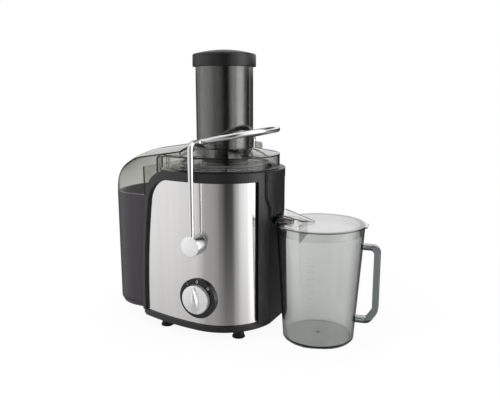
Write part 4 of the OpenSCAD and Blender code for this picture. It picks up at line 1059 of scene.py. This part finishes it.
# %% Bail rod
def rod_tree():
    tree, start = new_tree("sweep_rod", [
        ("Rod radius", "Float"), ("Sides", "Int"), ("Finish", "Material"),
    ])
    new, link = tree.nodes.new, tree.links.new
    curve = new("GeometryNodeMeshToCurve")
    taper = new("GeometryNodeInputNamedAttribute")
    taper.data_type = "FLOAT"
    taper.inputs["Name"].default_value = "taper"
    circle = new("GeometryNodeCurvePrimitiveCircle")
    sweep = new("GeometryNodeCurveToMesh")
    link(start.outputs["Geometry"], curve.inputs[0])
    link(start.outputs["Sides"], circle.inputs["Resolution"])
    link(start.outputs["Rod radius"], circle.inputs["Radius"])
    link(circle.outputs[0], sweep.inputs["Profile Curve"])
    sweep.inputs["Fill Caps"].default_value = True
    link(curve.outputs[0], sweep.inputs["Curve"])
    link(taper.outputs["Attribute"], sweep.inputs["Scale"])
    end_tree(tree, start, sweep.outputs[0])
    return tree


def make_rod():
    rod = grow("bail_rod_swept", rod_tree(), bail_path(), {
        "Rod radius": ROD_R * MM, "Sides": ROD_SIDES, "Finish": chrome,
    })
    outward(rod)
    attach(rod, "bail")
    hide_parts("bail_rod")
    return rod


rod = make_rod()
print("bail", len(rod.data.polygons), "faces, box", [round(v, 3) for v in rod.dimensions])

# %% [markdown]
# The filter is a cone of thin steel with thousands of etched holes, far too many for solids.
# A net of fine wires over the same cone gives the same see-through look with few faces: the
# tree takes a cone's edges as curves and gives each a thin square section.

# %% Filter screen
WIRE_R, WIRE_SIDES = 0.28, 4
WIRE_COLUMNS, WIRE_ROWS = 132, 14
SCREEN_SLANT = 15.6                 # the cone's radius is this much smaller below
SCREEN_INSET = 1.5                  # wire radii, so that all wires stay inside the solid's box


def screen_tree():
    tree, start = new_tree("wire_cone", [
        ("Low radius", "Float"), ("High radius", "Float"), ("Height", "Float"),
        ("Columns", "Int"), ("Rows", "Int"), ("Wire", "Float"), ("Finish", "Material"),
    ])
    new, link = tree.nodes.new, tree.links.new
    cone = new("GeometryNodeMeshCone")
    cone.fill_type = "NONE"
    wires = new("GeometryNodeMeshToCurve")
    circle = new("GeometryNodeCurvePrimitiveCircle")
    circle.inputs["Resolution"].default_value = WIRE_SIDES
    sweep = new("GeometryNodeCurveToMesh")
    sweep.inputs["Fill Caps"].default_value = True
    link(start.outputs["Columns"], cone.inputs["Vertices"])
    link(start.outputs["Rows"], cone.inputs["Side Segments"])
    link(start.outputs["High radius"], cone.inputs["Radius Top"])
    link(start.outputs["Low radius"], cone.inputs["Radius Bottom"])
    link(start.outputs["Height"], cone.inputs["Depth"])
    link(cone.outputs["Mesh"], wires.inputs[0])
    link(start.outputs["Wire"], circle.inputs["Radius"])
    link(wires.outputs[0], sweep.inputs["Curve"])
    link(circle.outputs[0], sweep.inputs["Profile Curve"])
    end_tree(tree, start, sweep.outputs[0])
    return tree


def make_screen():
    low, high = corners("mesh_screen")
    wire = WIRE_R * MM
    top = (high.x - low.x) / 2 - SCREEN_INSET * wire
    screen = grow("filter_screen", screen_tree(), bpy.data.meshes.new("nothing"), {
        "Low radius": top - SCREEN_SLANT * MM, "High radius": top,
        "Height": high.z - low.z - 2 * wire,
        "Columns": WIRE_COLUMNS, "Rows": WIRE_ROWS, "Wire": wire, "Finish": steel,
    })
    screen.data.transform(Matrix.Translation((axis_x, 0, low.z + wire)))
    outward(screen)
    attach(screen, "spindle")
    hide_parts("mesh_screen")
    return screen


screen = make_screen()
print("screen", len(screen.data.polygons), "faces, box", [round(v, 3) for v in screen.dimensions])

# %% [markdown]
# The jug has short measuring lines moulded into its wall. They stand one above the other and
# follow the wall's slope, so the tree puts one small bar on each point of a line that leans
# the same way.

# %% One measuring line
LINE_TURN = math.radians(8)
LINE_LOW, LINE_STEP, LINE_COUNT = 45.0, 9.0, 10
LINE_W, LINE_H, LINE_T = 9.0, 0.35, 0.12
tick_grey = moulded_plastic("tick_grey", (0.36, 0.37, 0.36), 0.4, edge=0)


def tick_mesh(width, height, thick, radius, steps=8):
    """A small bar bent to the jug's wall, around its own place on the wall."""
    bm = bmesh.new()
    inside, outside = radius - thick, radius + thick
    section = ((inside, 0), (outside, 0), (outside, height), (inside, height))
    rings = []
    for k in range(steps + 1):
        a = width / radius * (k / steps - 0.5)
        rings.append([
            bm.verts.new((r * math.sin(a), radius - r * math.cos(a), z)) for r, z in section
        ])
    for ring, after in zip(rings, rings[1:]):
        bridge(bm, ring, after)
    bm.faces.new(rings[0])
    bm.faces.new(rings[-1])
    bmesh.ops.recalc_face_normals(bm, faces=bm.faces)
    mesh = bpy.data.meshes.new("tick")
    bm.to_mesh(mesh)
    bm.free()
    return mesh


# %% Measuring lines
def tick_tree():
    tree, start = new_tree("ticks_on_line", [
        ("Count", "Int"), ("Offset", "Vector"), ("Finish", "Material"),
    ])
    new, link = tree.nodes.new, tree.links.new
    line = new("GeometryNodeMeshLine")
    spread = new("GeometryNodeInstanceOnPoints")
    link(start.outputs["Count"], line.inputs["Count"])
    link(start.outputs["Offset"], line.inputs["Offset"])
    link(line.outputs[0], spread.inputs["Points"])
    link(start.outputs["Geometry"], spread.inputs["Instance"])
    end_tree(tree, start, spread.outputs[0])
    return tree


def make_ticks():
    radius = wall_radius(LINE_LOW)
    lean = radius - wall_radius(LINE_LOW + LINE_STEP)
    bar = tick_mesh(LINE_W * MM, LINE_H * MM, LINE_T * MM, radius * MM)
    ticks = grow("measuring_lines", tick_tree(), bar, {
        "Count": LINE_COUNT, "Offset": (0, lean * MM, LINE_STEP * MM), "Finish": tick_grey,
    })
    place = jug_place(LINE_LOW * MM, LINE_TURN)
    ticks.data.transform(place @ Matrix.Translation((0, -radius * MM, 0)))
    outward(ticks)
    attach(ticks, "jug")
    return ticks


ticks = make_ticks()
print("measuring lines", len(ticks.data.polygons), "faces")
